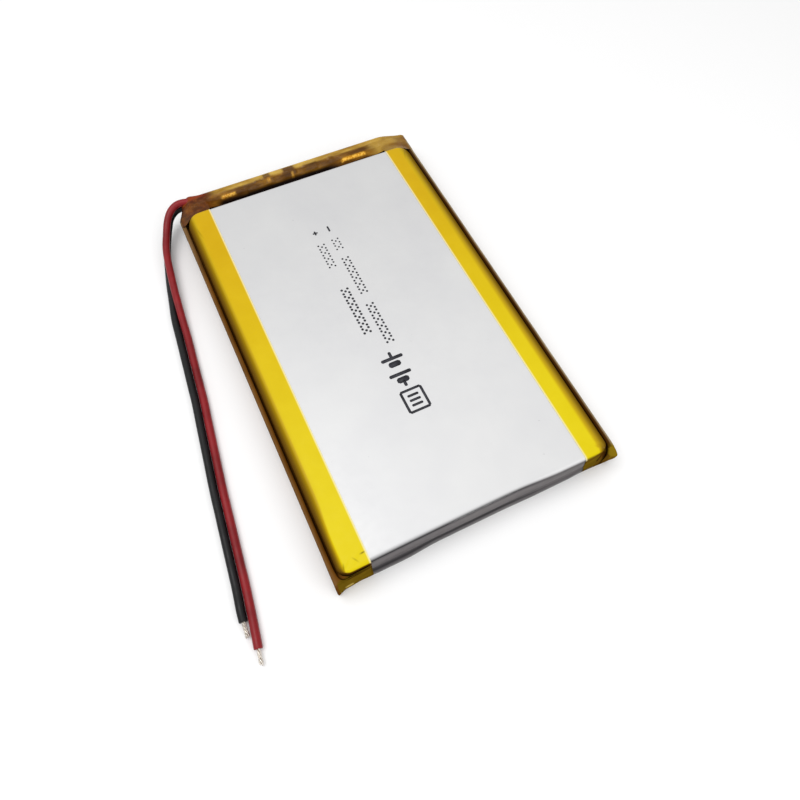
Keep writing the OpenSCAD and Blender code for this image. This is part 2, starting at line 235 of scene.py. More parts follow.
class Finish:
    """A node material, with the few node patterns that all the finishes here are made of."""

    def __init__(self, name, **shader):
        self.material = bpy.data.materials.new(name)
        self.material.use_nodes = True
        self.nodes = self.material.node_tree.nodes
        self.links = self.material.node_tree.links
        self.shader = self.nodes["Principled BSDF"]
        for key, value in shader.items():
            self.shader.inputs[key.replace("_", " ")].default_value = value
        self.place = self.nodes.new("ShaderNodeTexCoord").outputs["Object"]

    def feed(self, socket, value):
        """Links a node's output to a socket, or sets the socket to a plain value."""
        if isinstance(value, bpy.types.NodeSocket):
            self.links.new(value, socket)
        else:
            socket.default_value = value

    def add(self, kind, **inputs):
        made = self.nodes.new("ShaderNode" + kind)
        for key, value in inputs.items():
            self.feed(made.inputs[key.replace("_", " ")], value)
        return made

    def noise(self, scale, detail=3, stretch=(1, 1, 1), rough=0.55):
        spread = self.add("Mapping", Vector=self.place, Scale=stretch)
        return self.add(
            "TexNoise", Vector=spread.outputs[0], Scale=scale, Detail=detail, Roughness=rough
        ).outputs["Fac"]

    def math(self, operation, a, b=0.0):
        made = self.nodes.new("ShaderNodeMath")
        made.operation = operation
        for socket, value in zip(made.inputs, (a, b)):
            self.feed(socket, value)
        return made.outputs[0]

    def span(self, value, low, high, to_low=0.0, to_high=1.0):
        made = self.add("MapRange", Value=value)
        for key, number in zip(("From Min", "From Max", "To Min", "To Max"), (low, high, to_low, to_high)):
            made.inputs[key].default_value = number
        made.interpolation_type = "SMOOTHSTEP"
        return made.outputs[0]

    def ramp(self, value, stops):
        made = self.add("ValToRGB", Fac=value)
        marks = made.color_ramp.elements
        while len(marks) < len(stops):
            marks.new(0.5)
        for mark, (position, colour) in zip(marks, stops):
            mark.position = position
            mark.color = (*colour, 1)
        return made.outputs[0]

    def mix(self, amount, a, b):
        made = self.nodes.new("ShaderNodeMix")
        made.data_type = "RGBA"
        for key, value in (("Factor", amount), ("A", a), ("B", b)):
            socket = next(s for s in made.inputs if s.name == key and s.enabled)
            self.feed(socket, (*value, 1) if isinstance(value, tuple) else value)
        return next(s for s in made.outputs if s.enabled)

    def mottle(self, scale, dark, light, detail=4, stretch=(1, 1, 1), low=0.3):
        """Two colours mixed in soft patches."""
        return self.ramp(self.noise(scale, detail, stretch), [(low, dark), (1 - low, light)])

    def cover(self, skin, layers):
        """Lays colours over a skin one after another, each as far as its painted rule says."""
        for name, colour in layers:
            skin = self.mix(self.painted(name), skin, colour)
        return skin

    def painted(self, name):
        made = self.nodes.new("ShaderNodeAttribute")
        made.attribute_name = name
        return made.outputs["Fac"]

    def axis(self, name):
        return self.add("SeparateXYZ", Vector=self.place).outputs[name]

    def stroke(self, x, y, angle, length, width):
        """A soft line on the level, round (x, y) in millimetres, turned by an angle."""
        turned = self.nodes.new("ShaderNodeMapping")
        turned.vector_type = "TEXTURE"
        turned.inputs["Location"].default_value = (x * MM, y * MM, 0)
        turned.inputs["Rotation"].default_value = (0, 0, math.radians(angle))
        self.links.new(self.place, turned.inputs["Vector"])
        local = self.add("SeparateXYZ", Vector=turned.outputs[0])
        along = self.math("ABSOLUTE", local.outputs["X"])
        aside = self.math("ABSOLUTE", local.outputs["Y"])
        return self.math(
            "MULTIPLY",
            self.span(along, 0, length * MM / 2, 1.0, 0.0),
            self.span(aside, 0, width * MM / 2, 1.0, 0.0),
        )

    def facing(self, name):
        normal = self.nodes.new("ShaderNodeNewGeometry").outputs["Normal"]
        return self.add("SeparateXYZ", Vector=normal).outputs[name]

    def colour(self, value):
        self.links.new(value, self.shader.inputs["Base Color"])

    def roughness(self, value):
        self.links.new(value, self.shader.inputs["Roughness"])

    def bump(self, height, distance, strength=1.0):
        made = self.add("Bump", Height=height, Strength=strength, Distance=distance)
        self.links.new(made.outputs[0], self.shader.inputs["Normal"])


def rgb(red, green, blue):
    """A colour from 0 to 255 as the eye sees it, as linear light."""
    return tuple(
        v / 12.92 if v <= 0.04045 else ((v + 0.055) / 1.055) ** 2.4
        for v in (red / 255, green / 255, blue / 255)
    )


def plain_finish(name, dark, light, scale, rough, grain, depth, **shader):
    """A finish with a mottled colour, uneven gloss and fine grain, for small and inner parts."""
    made = Finish(name, **shader)
    made.colour(made.mottle(scale, dark, light))
    made.roughness(made.span(made.noise(scale * 2.3), 0.3, 0.7, *rough))
    made.bump(made.noise(grain, detail=5), depth)
    return made


# ---- Leads ----

LEAD_D = 1.5
STRAND_D = 0.7
STRANDS = 4
WIRE_R = STRAND_D * 0.21
# Spacing of the lead's rings, radius of its cut end's rim, and how much its thickness varies
RING_STEP, RIM_R, PINCH = 0.6, 0.12, 0.012
RED_ROUTE = [
    (-20.4, 42.99, 5.9), (-22, 43.4, 6), (-23.6, 44.1, 6.1), (-25.2, 44.7, 6.1),
    (-26.8, 44.9, 5.8), (-28.2, 44.4, 5.3), (-29.3, 43.4, 4.7), (-30.2, 42, 4.1),
    (-31.1, 40, 3.5), (-32.1, 37.4, 3), (-32.8, 34.4, 2.6), (-33.2, 31.5, 2.4),
    (-33.6, 28.5, 2.2), (-34, 25, 1.9), (-34.5, 20, 1.3), (-34.9, 15, 0.9),
    (-35.4, 10, 0.8), (-35.9, 5, 0.8), (-36.4, 0, 0.8), (-37, -4.5, 0.8),
    (-37.6, -9, 0.8), (-38.2, -13.5, 0.8), (-38.8, -18, 0.8), (-39.3, -22.5, 0.8),
    (-39.8, -27, 0.8), (-40.3, -31.5, 0.8), (-40.8, -36, 0.8), (-41.4, -40.5, 0.8),
    (-42, -44.5, 0.8), (-42.3, -46.4, 0.8),
]
BLACK_ROUTE = [
    (-20.4, 42.99, 4.2), (-22, 43.3, 4.3), (-23.6, 44, 4.5), (-25.2, 44.8, 4.5),
    (-26.7, 45.2, 4.2), (-28, 45, 3.7), (-29.1, 44.2, 3.2), (-30, 42.8, 2.6),
    (-31, 40.8, 2), (-32.1, 38.2, 1.4), (-33, 35.3, 1), (-33.7, 32.4, 0.8),
    (-34.4, 29.2, 0.8), (-35.1, 25.2, 0.8), (-36, 20.1, 0.8), (-36.5, 15, 0.8),
    (-37, 10, 0.8), (-37.5, 5, 0.8), (-38, 0, 0.8), (-38.6, -4.5, 0.8),
    (-39.2, -9, 0.8), (-39.8, -13.5, 0.8), (-40.4, -18, 0.8), (-40.9, -22.5, 0.8),
    (-41.4, -27, 0.8), (-41.9, -31.5, 0.8), (-42.4, -36, 0.8), (-42.9, -39.5, 0.8),
    (-43.1, -41.5, 0.8),
]


def path_frames(path):
    """Direction, side and upward vectors at each point of a path."""
    frames = []
    for i in range(len(path)):
        along = (path[min(i + 1, len(path) - 1)] - path[max(i - 1, 0)]).normalized()
        side = along.cross(Vector((0, 0, 1))).normalized()
        frames.append((along, side, side.cross(along)))
    return frames


def tube(path, radii, sides=20):
    """A closed tube along a path, with a radius at each point."""
    frames = path_frames(path)
    points = [
        p + radius * (math.cos(a) * up + math.sin(a) * side)
        for p, radius, (_, side, up) in zip(path, radii, frames)
        for a in (2 * math.pi * k / sides for k in range(sides))
    ]
    faces = grid_faces(len(path), sides, closed=True)
    faces.append(tuple(range(sides))[::-1])
    faces.append(tuple(range(len(points) - sides, len(points))))
    return points, faces


def insulation(route):
    """A lead's insulation: even, a little pinched here and there, and cut square with a soft rim."""
    points = [Vector(p) for p in route]
    path = curve_through(points, lambda b, c: max(1, round((c - b).length / RING_STEP)))
    out = (path[-1] - path[-2]).normalized()
    bends = np.radians((0, 30, 60, 90))
    tail = [path[-1] - out * RIM_R * (1 - math.sin(a)) for a in bends]
    lead = [p for p in path[:-1] if (path[-1] - p).dot(out) > 1.5 * RIM_R or (path[-1] - p).length > 1]
    radii = [LEAD_D / 2 * (1 + PINCH * noise.noise(p * 0.7)) for p in lead]
    radii += [LEAD_D / 2 - RIM_R * (1 - math.cos(a)) for a in bends]
    return [*lead, *tail], radii


def strand_bundle(start, along, length, turns, splay):
    """Tinned wires twisted together, a little loose at the tip."""
    side = along.cross(Vector((0, 0, 1))).normalized()
    up = side.cross(along)
    parts = []
    steps = 18
    for wire in range(STRANDS):
        phase = 2 * math.pi * wire / STRANDS
        reach = STRAND_D / 2 - WIRE_R
        shorter = 1 - 0.07 * ((wire * 3) % 4) / 3
        path = []
        for k in range(steps):
            t = k / (steps - 1) * shorter
            turn = phase + 2 * math.pi * turns * t
            spread = reach * (1 + splay * 0.5 * t ** 3)
            bend = splay * WIRE_R * t * t
            path.append(
                start + along * length * t
                + side * (spread * math.cos(turn) - bend) + up * spread * math.sin(turn)
            )
        radii = [WIRE_R] * (steps - 1) + [WIRE_R * 0.55]
        parts.append(tube(path, radii, sides=10))
    return joined(*parts)


def lead_finish(name, dark, light):
    """Soft PVC: a faint mottle, a dusty sheen and fine scuffs along the lead."""
    made = Finish(name, Specular_IOR_Level=0.28, Coat_Weight=0.03, Coat_Roughness=0.35)
    dust = made.span(made.noise(1400, detail=5), 0.55, 0.8)
    base = made.mottle(260, dark, light)
    made.colour(made.mix(made.math("MULTIPLY", dust, 0.08), base, rgb(110, 100, 100)))
    made.roughness(made.span(made.noise(500), 0.3, 0.7, 0.36, 0.55))
    made.bump(made.noise(2600, detail=4), 0.00002, 0.6)
    return made.material


TINNED = plain_finish(
    "tinned_copper", rgb(186, 178, 168), rgb(240, 232, 222), 1800, (0.24, 0.4), 6000, 0.00001,
    Metallic=0.9,
).material

LEADS = {
    "red": (RED_ROUTE, lead_finish("red_insulation", rgb(112, 14, 20), rgb(140, 24, 30)), 0.7, 0.5),
    "black": (BLACK_ROUTE, lead_finish("black_insulation", rgb(8, 8, 9), rgb(20, 19, 22)), 1.1, 0.9),
}
BARE_L = 2.6
STUB_L = 2.8

for colour, (route, finish, turns, splay) in LEADS.items():
    path, radii = insulation(route)
    lead = piece(f"{colour}_insulation", *tube(path, radii), [finish])
    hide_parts(f"{colour}_lead")
    out = (path[-1] - path[-3]).normalized()
    tip = piece(
        f"{colour}_strand_tip",
        *joined(
            strand_bundle(path[-1] - out * 0.3, out, BARE_L + 0.3, turns, splay),
            strand_bundle(Vector(route[0]), Vector((1, 0, 0)), STUB_L, turns, 0),
        ),
        [TINNED],
    )
    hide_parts(f"{colour}_strands")

# ---- The pouch ----

CUP_X = 26.1
CUP_Y0, CUP_Y1 = -43.3, 40.1
# Corner radii seen from above: at the board end, and at the near end
CORNER_R, NEAR_CORNER_R = 3.0, 2.1
ARC_STEPS, X_STEPS, Y_STEPS = 14, 120, 200
END_BOW = 0.2
FILM_T, TAPE_T, AMBER_T = 0.13, 0.05, 0.04
FILM_Y1 = 42.4
FACE_Z = 7.28
BASE_TOP = 0.23
CUP_FOOT = 0.24
TAPE_X = 20.66
TAPE_Z = 0.09
# Inset at the top of the wall and radius of the shoulder, for the sides, the near and the far end
SIDE, NEAR, FAR = (0.0, 1.7), (0.35, 0.75), (0.2, 0.9)


def face_height(x, y):
    """Height of the pouch's slightly crowned face."""
    across = np.abs(np.asarray(x, float)) / 24.5
    along = np.abs(np.asarray(y, float) + 1.6) / 41
    return FACE_Z - 0.1 * across ** 4 - 0.1 * along ** 4


def outline(grow):
    """Points round the cup: place, outward normal, and 0 on the sides to 1 on the ends."""
    corners = []
    for start, sx, sy in ((0, 1, 1), (90, -1, 1), (180, -1, -1), (270, 1, -1)):
        r = CORNER_R if sy > 0 else NEAR_CORNER_R
        middle = (sx * (CUP_X - r), (CUP_Y1 - r) if sy > 0 else (CUP_Y0 + r))
        corners.append((*middle, start, r + grow))
    found = []
    for index, (cx, cy, start, r) in enumerate(corners):
        for k in range(ARC_STEPS + 1):
            a = math.radians(start + 90 * k / ARC_STEPS)
            n = (math.cos(a), math.sin(a))
            found.append((cx + r * n[0], cy + r * n[1], *n, ease(0.15, 0.85, abs(n[1]))))
        next_x, next_y, next_start, next_r = corners[(index + 1) % 4]
        steps = X_STEPS if index % 2 == 0 else Y_STEPS
        a = math.radians(start + 90)
        n = (math.cos(a), math.sin(a))
        x0, y0 = cx + r * n[0], cy + r * n[1]
        x1, y1 = next_x + next_r * n[0], next_y + next_r * n[1]
        for k in range(1, steps):
            t = k / steps
            found.append((x0 + (x1 - x0) * t, y0 + (y1 - y0) * t, *n, 1.0 if index % 2 == 0 else 0.0))
    return found


def crease(x, y, a, b, width, depth):
    """A soft dent along the line from a to b."""
    p, q = np.array(a, float), np.array(b, float)
    line = q - p
    t = np.clip(((x - p[0]) * line[0] + (y - p[1]) * line[1]) / (line @ line), 0, 1)
    far = np.hypot(x - p[0] - t * line[0], y - p[1] - t * line[1])
    return depth * np.exp(-((far / width) ** 2))


def near_lean(x, y, z):
    """How far the near wall stands forward of plumb: out at the foot on the left, at the top on the right."""
    foot = 0.35 * smoothstep(-24, -19.5, x) * smoothstep(-8, -15, x)
    foot += 0.15 * smoothstep(4, 12, x) * smoothstep(22.5, 18.5, x)
    top = 0.33 * smoothstep(7, 16, x) * smoothstep(25, 21.5, x)
    lean = foot * smoothstep(3.5, 0.8, z) + top * smoothstep(1.5, 6.3, z)
    return lean * smoothstep(-41.2, -42.9, y)


def wall_top(x, ny, end, grow):
    """How far in the wall's top stands at a place on the ring, and the shoulder's radius there."""
    near = NEAR if ny < 0 else FAR
    bow = END_BOW * end * (1 - min(1, (x / CUP_X) ** 2)) if ny < 0 else 0
    return (1 - end) * SIDE[0] + end * near[0] + bow, (1 - end) * SIDE[1] + end * near[1] + grow


# Soft dents in the face's near corners: from, to, width and depth
DENTS = (
    ((-21.4, -40.9), (-22.9, -42.0), 0.3, 0.12),
    ((-22.2, -42.4), (-24.6, -42.1), 0.3, 0.16),
    ((21.5, -41.9), (24.5, -40.9), 0.35, 0.12),
)


def cup_surface(grow=0.0, foot=CUP_FOOT):
    """The drawn cup from its foot, up the walls, over the shoulder and in across the face."""
    ring = outline(grow)
    # Wall: how far down, and a low crease with a bulge under it on the end walls
    wall = [(1.0, 0.06), (0.93, 0.0), (0.84, -0.02), (0.74, 0.0), (0.68, 0.1), (0.64, 0.17), (0.6, 0.1),
            (0.52, 0.02), (0.4, 0.0), (0.28, 0.0), (0.16, 0.0), (0.07, 0.0)]
    bends = [math.radians(a) for a in range(90, -1, -9)]
    inward = [0.04, 0.1, 0.18, 0.28, 0.4, 0.52, 0.64, 0.76, 0.86, 0.94]
    points = []
    rows = len(wall) + len(bends) + len(inward)
    for down, groove in wall:
        for x, y, nx, ny, end in ring:
            top_inset, radius = wall_top(x, ny, end, grow)
            inset = top_inset * (1 - down) + groove * end * (1 if ny < 0 else 0.3)
            top = float(face_height(x, y)) + grow - radius
            points.append((x - nx * inset, y - ny * inset, top + (foot - top) * down))
    for bend in bends:
        for x, y, nx, ny, end in ring:
            top_inset, radius = wall_top(x, ny, end, grow)
            inset = top_inset + radius * (1 - math.sin(bend))
            px, py = x - nx * inset, y - ny * inset
            points.append((px, py, float(face_height(px, py)) + grow - radius * (1 - math.cos(bend))))
    rim = points[-len(ring):]
    spine_low, spine_high = CUP_Y0 + 24, CUP_Y1 - 24
    for share in inward:
        for px, py, _ in rim:
            sy = min(max(py, spine_low), spine_high)
            x, y = px * (1 - share), py + (sy - py) * share
            points.append((x, y, float(face_height(x, y)) + grow))
    p = np.array(points)
    p[:, 1] -= near_lean(*p.T)
    sunk = sum(crease(p[:, 0], p[:, 1], *dent) for dent in DENTS)
    p[:, 2] -= sunk * smoothstep(5.4, 6.4, p[:, 2])
    middle = tuple(range(len(p) - len(ring), len(p)))
    return p, [*grid_faces(rows, len(ring), closed=True), middle]


def slab(xs, ys, top, bottom):
    """A closed sheet over a grid, from its lower to its upper surface."""
    rows, cols = len(ys), len(xs)
    upper = [(x, y, top(x, y)) for y in ys for x in xs]
    lower = [(x, y, bottom(x, y)) for y in ys for x in xs]
    faces = grid_faces(rows, cols)
    base = rows * cols
    faces += [tuple(i + base for i in f[::-1]) for f in grid_faces(rows, cols)]
    rim = [c for c in range(cols)] + [r * cols + cols - 1 for r in range(1, rows)]
    rim += [(rows - 1) * cols + c for c in range(cols - 2, -1, -1)]
    rim += [r * cols for r in range(rows - 2, 0, -1)]
    faces += [
        (rim[k], rim[k] + base, rim[(k + 1) % len(rim)] + base, rim[(k + 1) % len(rim)])
        for k in range(len(rim))
    ]
    return upper + lower, faces


def film_finish():
    """Satin laminate with painted light and shade: bright where it faces up or down, painted dull grey as
    shade on the drawn walls, and lighter towards the near end as the light falls off.
    """
    made = Finish("pouch_film", Metallic=0.15, Specular_IOR_Level=0.12)
    # Painted light and shade by facing: the face colour where the film faces up or down, the grey wall colour
    # where it stands upright
    upright = made.math("ABSOLUTE", made.facing("Z"))
    level = made.span(upright, 0.2, 0.95)
    cloud = made.noise(90, detail=3)
    # Painted light falloff: the face is lighter at the near end and darker at the far end
    near = made.ramp(cloud, [(0.3, rgb(214, 214, 215)), (0.7, rgb(219, 219, 219))])
    far = made.ramp(cloud, [(0.3, rgb(202, 202, 203)), (0.7, rgb(207, 207, 207))])
    face = made.mix(made.span(made.axis("Y"), -0.04, 0.04), near, far)
    # Grey of the drawn walls, painted as shade
    wall = made.mottle(300, rgb(84, 79, 80), rgb(106, 100, 101), stretch=(0.15, 0.15, 1))
    speck = made.span(made.noise(1500, detail=2), 0.74, 0.8)
    # Painted shade from the shade rule, dark over the lit face and shaded wall
    mixed = made.mix(made.painted("shade"), made.mix(level, wall, face), rgb(24, 21, 25))
    made.colour(made.mix(made.math("MULTIPLY", speck, 0.3), mixed, rgb(150, 150, 152)))
    made.roughness(made.span(made.noise(700, detail=4), 0.3, 0.7, 0.38, 0.45))
    grain = made.noise(5200, detail=3)
    swell = made.math("MULTIPLY", made.noise(45, detail=1), 4.0)
    made.bump(made.math("ADD", grain, swell), 0.00001, 0.35)
    return made.material


FILM = film_finish()


def wall_shade(x, y, z):
    """Painted shade along the near wall: dark lines under the face's edge and at the low crease, and darker
    towards the foot.
    """
    on_end = smoothstep(-42.0, -42.5, y)
    left = smoothstep(18, 4, x)
    under_face = np.exp(-(((z - 6.05 - 0.55 * left) / 0.45) ** 2)) * (0.6 + 0.35 * left)
    low_line = np.exp(-(((z - 1.5 - 0.5 * left) / 0.4) ** 2)) * (0.35 + 0.5 * left)
    between = 0.25 * smoothstep(4.6, 2.8, z)
    return np.clip(on_end * (under_face + low_line + between), 0, 1)


def tab_rise(x):
    """1 over the two terminal tabs, where the seal is lifted."""
    return ease(3.6, 3.3, abs(abs(x) - 14))


def terrace():
    """The upper leaf's share of the seal at the board end, lifted over the tabs."""
    steps = [-23.1 + 0.3 * k for k in range(155)]
    return slab(
        steps, [40.0, 40.8, 41.6, FILM_Y1],
        lambda x, y: 0.39 + 0.25 * tab_rise(x),
        lambda x, y: 0.24 + 0.25 * tab_rise(x),
    )


upper = piece("pouch_upper", *cup_surface(), [FILM])
face_up(upper)
thicken(upper, FILM_T)
paint(upper, "shade", wall_shade)
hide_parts("pouch_cup")

seal_flange = piece("pouch_upper_terrace", *terrace(), [FILM])
paint(seal_flange, "shade", lambda x, y, z: np.zeros_like(x))


def base_sheet():
    """The lower leaf, its near edge rolled up into the fold, and set in where tapes lie under it."""
    inside_tape = 20.5
    steps_at = {-TAPE_X, -inside_tape, inside_tape, TAPE_X}
    xs = sorted({round(-CUP_X + 0.9 * k, 3) for k in range(59)} | steps_at)
    roll = [(-43.36, 0.14, 0.16), (-43.34, 0.07, 0.2), (-43.26, 0.02, 0.22), (-43.1, 0.0, 0.23)]
    ys = [row[0] for row in roll] + [-42 + 2 * k for k in range(40)]
    ys += [36.9, 37.05, 38, 40, FILM_Y1]
    lift = {row[0]: row for row in roll}

    def under(x, y):
        in_tape = max(ease(inside_tape, TAPE_X, abs(x)), ease(36.9, 37.05, y))
        return max(lift[y][1] if y in lift else 0.0, TAPE_Z * in_tape)

    def over(x, y):
        return lift[y][2] if y in lift else BASE_TOP

    points, faces = slab(xs, ys, over, under)
    return [(x, y - float(near_lean(x, y, z)), z) for x, y, z in points], faces


lower = piece("pouch_lower", *base_sheet(), [FILM])
# Painted shade on the lower leaf's rolled near edge
paint(lower, "shade", lambda x, y, z: 0.6 * smoothstep(-43.0, -43.3, y))
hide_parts("pouch_base")

# ---- Side seals with their ears, and the yellow edge tapes over them ----

# Where the taped seals end, under the amber tape
SEAM_END = {1: 41.98, -1: 39.9}
HEM_TOP = 5.68
HEM_IN, HEM_OUT = 26.62, 27.5
CREVICE_X, CREVICE_Z = 26.15, 4.3
# The seal round the ear, as sections from the side to the front, mirrored on the left. Each row:
# cup side of the crevice (x, y), seal's inner edge (x, y), outer edge (x, y), foot (x, y), height of
# the edge, height of the crevice's floor, and how much of the ear's reach forward it has
EARS = {
    1: (
        (26.15, -39.8, 26.62, -40.0, 27.5, -40.0, TAPE_X, -40.0, 5.68, 4.3, 0),
        (26.15, -41.0, 26.6, -41.1, 27.5, -41.2, TAPE_X, -41.2, 5.66, 4.3, 0),
        (26.05, -41.8, 26.54, -41.9, 27.5, -42.2, TAPE_X, -42.0, 5.6, 4.2, 0),
        (25.82, -42.35, 26.42, -42.5, 27.5, -42.9, TAPE_X, -42.8, 5.45, 3.9, 0.05),
        (25.5, -42.72, 26.26, -42.9, 27.5, -43.3, TAPE_X, -43.1, 5.2, 3.4, 0.45),
        (25.2, -42.95, 26.1, -43.16, 27.42, -43.5, TAPE_X, -43.3, 5.0, 2.8, 0.85),
        (24.95, -43.1, 25.96, -43.32, 27.2, -43.6, 21.6, -43.36, 4.85, 2.2, 0.95),
        (24.7, -43.22, 25.84, -43.42, 26.85, -43.62, 22.4, -43.38, 4.75, 1.6, 0.9),
        (24.45, -43.3, 25.74, -43.48, 26.4, -43.6, 23.2, -43.4, 4.65, 1.0, 0.7),
        (24.25, -43.33, 25.7, -43.52, 26.0, -43.56, 23.6, -43.4, 4.5, 0.5, 0.5),
        (24.2, -43.34, 25.7, -43.53, 25.95, -43.56, 23.6, -43.4, 0.5, 0.06, 0.3),
    ),
    -1: (
        (26.15, -39.8, 26.6, -40.0, 27.5, -40.0, TAPE_X, -40.0, 5.68, 4.3, 0),
        (26.15, -41.0, 26.58, -41.1, 27.5, -41.3, TAPE_X, -41.2, 5.68, 4.3, 0),
        (26.05, -41.8, 26.5, -41.9, 27.5, -42.2, TAPE_X, -42.1, 5.66, 4.5, 0),
        (25.82, -42.35, 26.4, -42.45, 27.5, -42.8, TAPE_X, -42.8, 5.64, 4.8, 0.1),
        (25.5, -42.72, 26.2, -42.88, 27.5, -43.25, TAPE_X, -43.1, 5.66, 5.1, 0.55),
        (25.2, -42.95, 25.94, -43.16, 27.42, -43.5, TAPE_X, -43.3, 5.72, 5.3, 0.95),
        (24.9, -43.13, 25.55, -43.34, 27.15, -43.6, 21.4, -43.36, 5.8, 5.45, 0.92),
        (24.55, -43.27, 25.05, -43.42, 26.6, -43.6, 22.0, -43.38, 5.9, 5.6, 0.5),
        (24.1, -43.33, 24.5, -43.44, 25.8, -43.58, 22.6, -43.38, 6.0, 5.7, 0.36),
        (23.4, -43.34, 23.6, -43.42, 24.6, -43.54, 22.6, -43.4, 6.1, 5.85, 0.3),
        (22.2, -43.34, 22.4, -43.4, 22.9, -43.47, 21.8, -43.4, 6.12, 5.9, 0.16),
        (20.8, -43.32, 20.85, -43.36, 21.0, -43.41, 20.8, -43.38, 6.12, 5.95, 0.03),
    ),
}
# How far the ear reaches forward at each height: high up on the right, low down on the left
REACH = {
    1: ((0, 0.0), (1.2, 0.22), (2.4, 0.55), (3.6, 0.84), (4.6, 0.86), (5.7, 0.8)),
    -1: ((0, 0.72), (1.2, 0.88), (3, 0.5), (5.5, 0.04), (5.7, 0.0)),
}


def follow(table, t):
    """A value from a short table of straight steps."""
    for (t0, v0), (t1, v1) in zip(table, table[1:]):
        if t <= t1:
            return v0 + (v1 - v0) * (t - t0) / (t1 - t0)
    return table[-1][1]


def hem_section(row, side):
    """One section of the taped seal: crevice, edge, outer wall and the flap under the back."""
    cup, inner, outer, foot = (np.array(row[k:k + 2]) for k in (0, 2, 4, 6))
    top, low, push = row[8:11]
    across = outer - inner
    wide = max(float(np.hypot(*across)), 0.02)
    out = across / wide
    r = min(0.3, wide * 0.45)
    section = [(cup, low + min(0.3, low * 0.2)), ((cup + inner) / 2, low),
               (inner, low + min(0.2, (top - low) * 0.3)), (inner, low + (top - low) * 0.6)]
    for a in np.radians((180, 150, 120, 90)):
        section.append((inner + out * r * (1 + math.cos(a)), top - r + r * math.sin(a)))
    for a in np.radians((90, 60, 30, 0)):
        section.append((outer - out * r * (1 - math.cos(a)), top - r + r * math.sin(a)))
    for share in (0.15, 0.3, 0.45, 0.6, 0.75, 0.9):
        section.append((outer - out * 0.05 * math.sin(math.pi * share),
                        (top - r) * (1 - share) + 0.2 * share))
    for a in np.radians((0, -30, -60, -90)):
        section.append((outer - out * 0.2 * (1 - math.cos(a)), 0.2 + 0.2 * math.sin(a)))
    for share in (0.35, 0.7, 1.0):
        section.append((outer - out * 0.2 + (foot - outer + out * 0.2) * share, 0.0))
    placed = []
    for index, ((x, y), z) in enumerate(section):
        facing_out = float(np.clip((np.array((x, y)) - inner) @ out / wide, 0, 1))
        reach = push * follow(REACH[side], z) * (facing_out if 4 <= index < 23 else 0)
        placed.append((side * x, y - reach, z))
    return placed


def hem_surface(side):
    """The taped seal on one side (-1 left, 1 right), with its ear closed round the corner."""
    straight = []
    y = SEAM_END[side]
    while y > EARS[side][0][1] + 0.9:
        wave = 0.04 * noise.noise(Vector((y * 0.22, side * 3.1, 0)))
        straight.append((CREVICE_X, y, HEM_IN + wave * 0.6, y, HEM_OUT - 0.02, y, TAPE_X, y,
                         HEM_TOP + wave, CREVICE_Z, 0))
        y -= 0.8
    ear = [np.array(row, float) for row in EARS[side]]
    rows = [*straight, *curve_through(ear, lambda b, c: 4)]
    points = [p for row in rows for p in hem_section(row, side)]
    points = [(x, y - float(near_lean(x, y, z)), z) for x, y, z in points]
    cols = len(points) // len(rows)
    faces = grid_faces(len(rows), cols)
    faces.append(tuple(range(len(points) - cols, len(points))))
    return points, faces


def seal_solid(side):
    """The two welded leaves from the cup's foot, out, and turned up on edge inside the tape."""
    section = [(26.13, 0.1), (27.25, 0.1), (27.37, 0.22)]
    section += [(27.37, 0.22 + 5.1 * k / 6) for k in range(1, 7)]
    section += [(27.3, 5.5), (27.05, 5.57), (26.8, 5.5), (26.72, 5.32), (26.72, 4.6), (26.72, 0.36),
                (26.13, 0.36)]
    rows = [SEAM_END[side] - 0.1, *np.arange(39, -41, -1.5), -41.4]
    points = [
        (side * (x + 0.02 * noise.noise(Vector((z, y * 0.3, 2)))), y, z) for y in rows for x, z in section
    ]
    cols = len(section)
    faces = grid_faces(len(rows), cols, closed=True)
    faces += [tuple(range(cols)), tuple(range(len(points) - cols, len(points)))[::-1]]
    return points, faces


# Wrinkles in the tape, three at the near corners and two along the sides, each with a painted shade: place,
# angle, length, width and how dark the painted shade is
CREASES = (
    (-21.3, -40.95, 4, 1.5, 0.5, 0.8), (-22.8, -41.5, -55, 2.0, 0.5, 0.35), (-25.0, -41.8, 75, 1.8, 0.5, 0.5),
    (24.4, 37.0, 70, 4.0, 0.5, 0.3), (-24.6, 34.0, 100, 5.0, 0.5, 0.3),
)


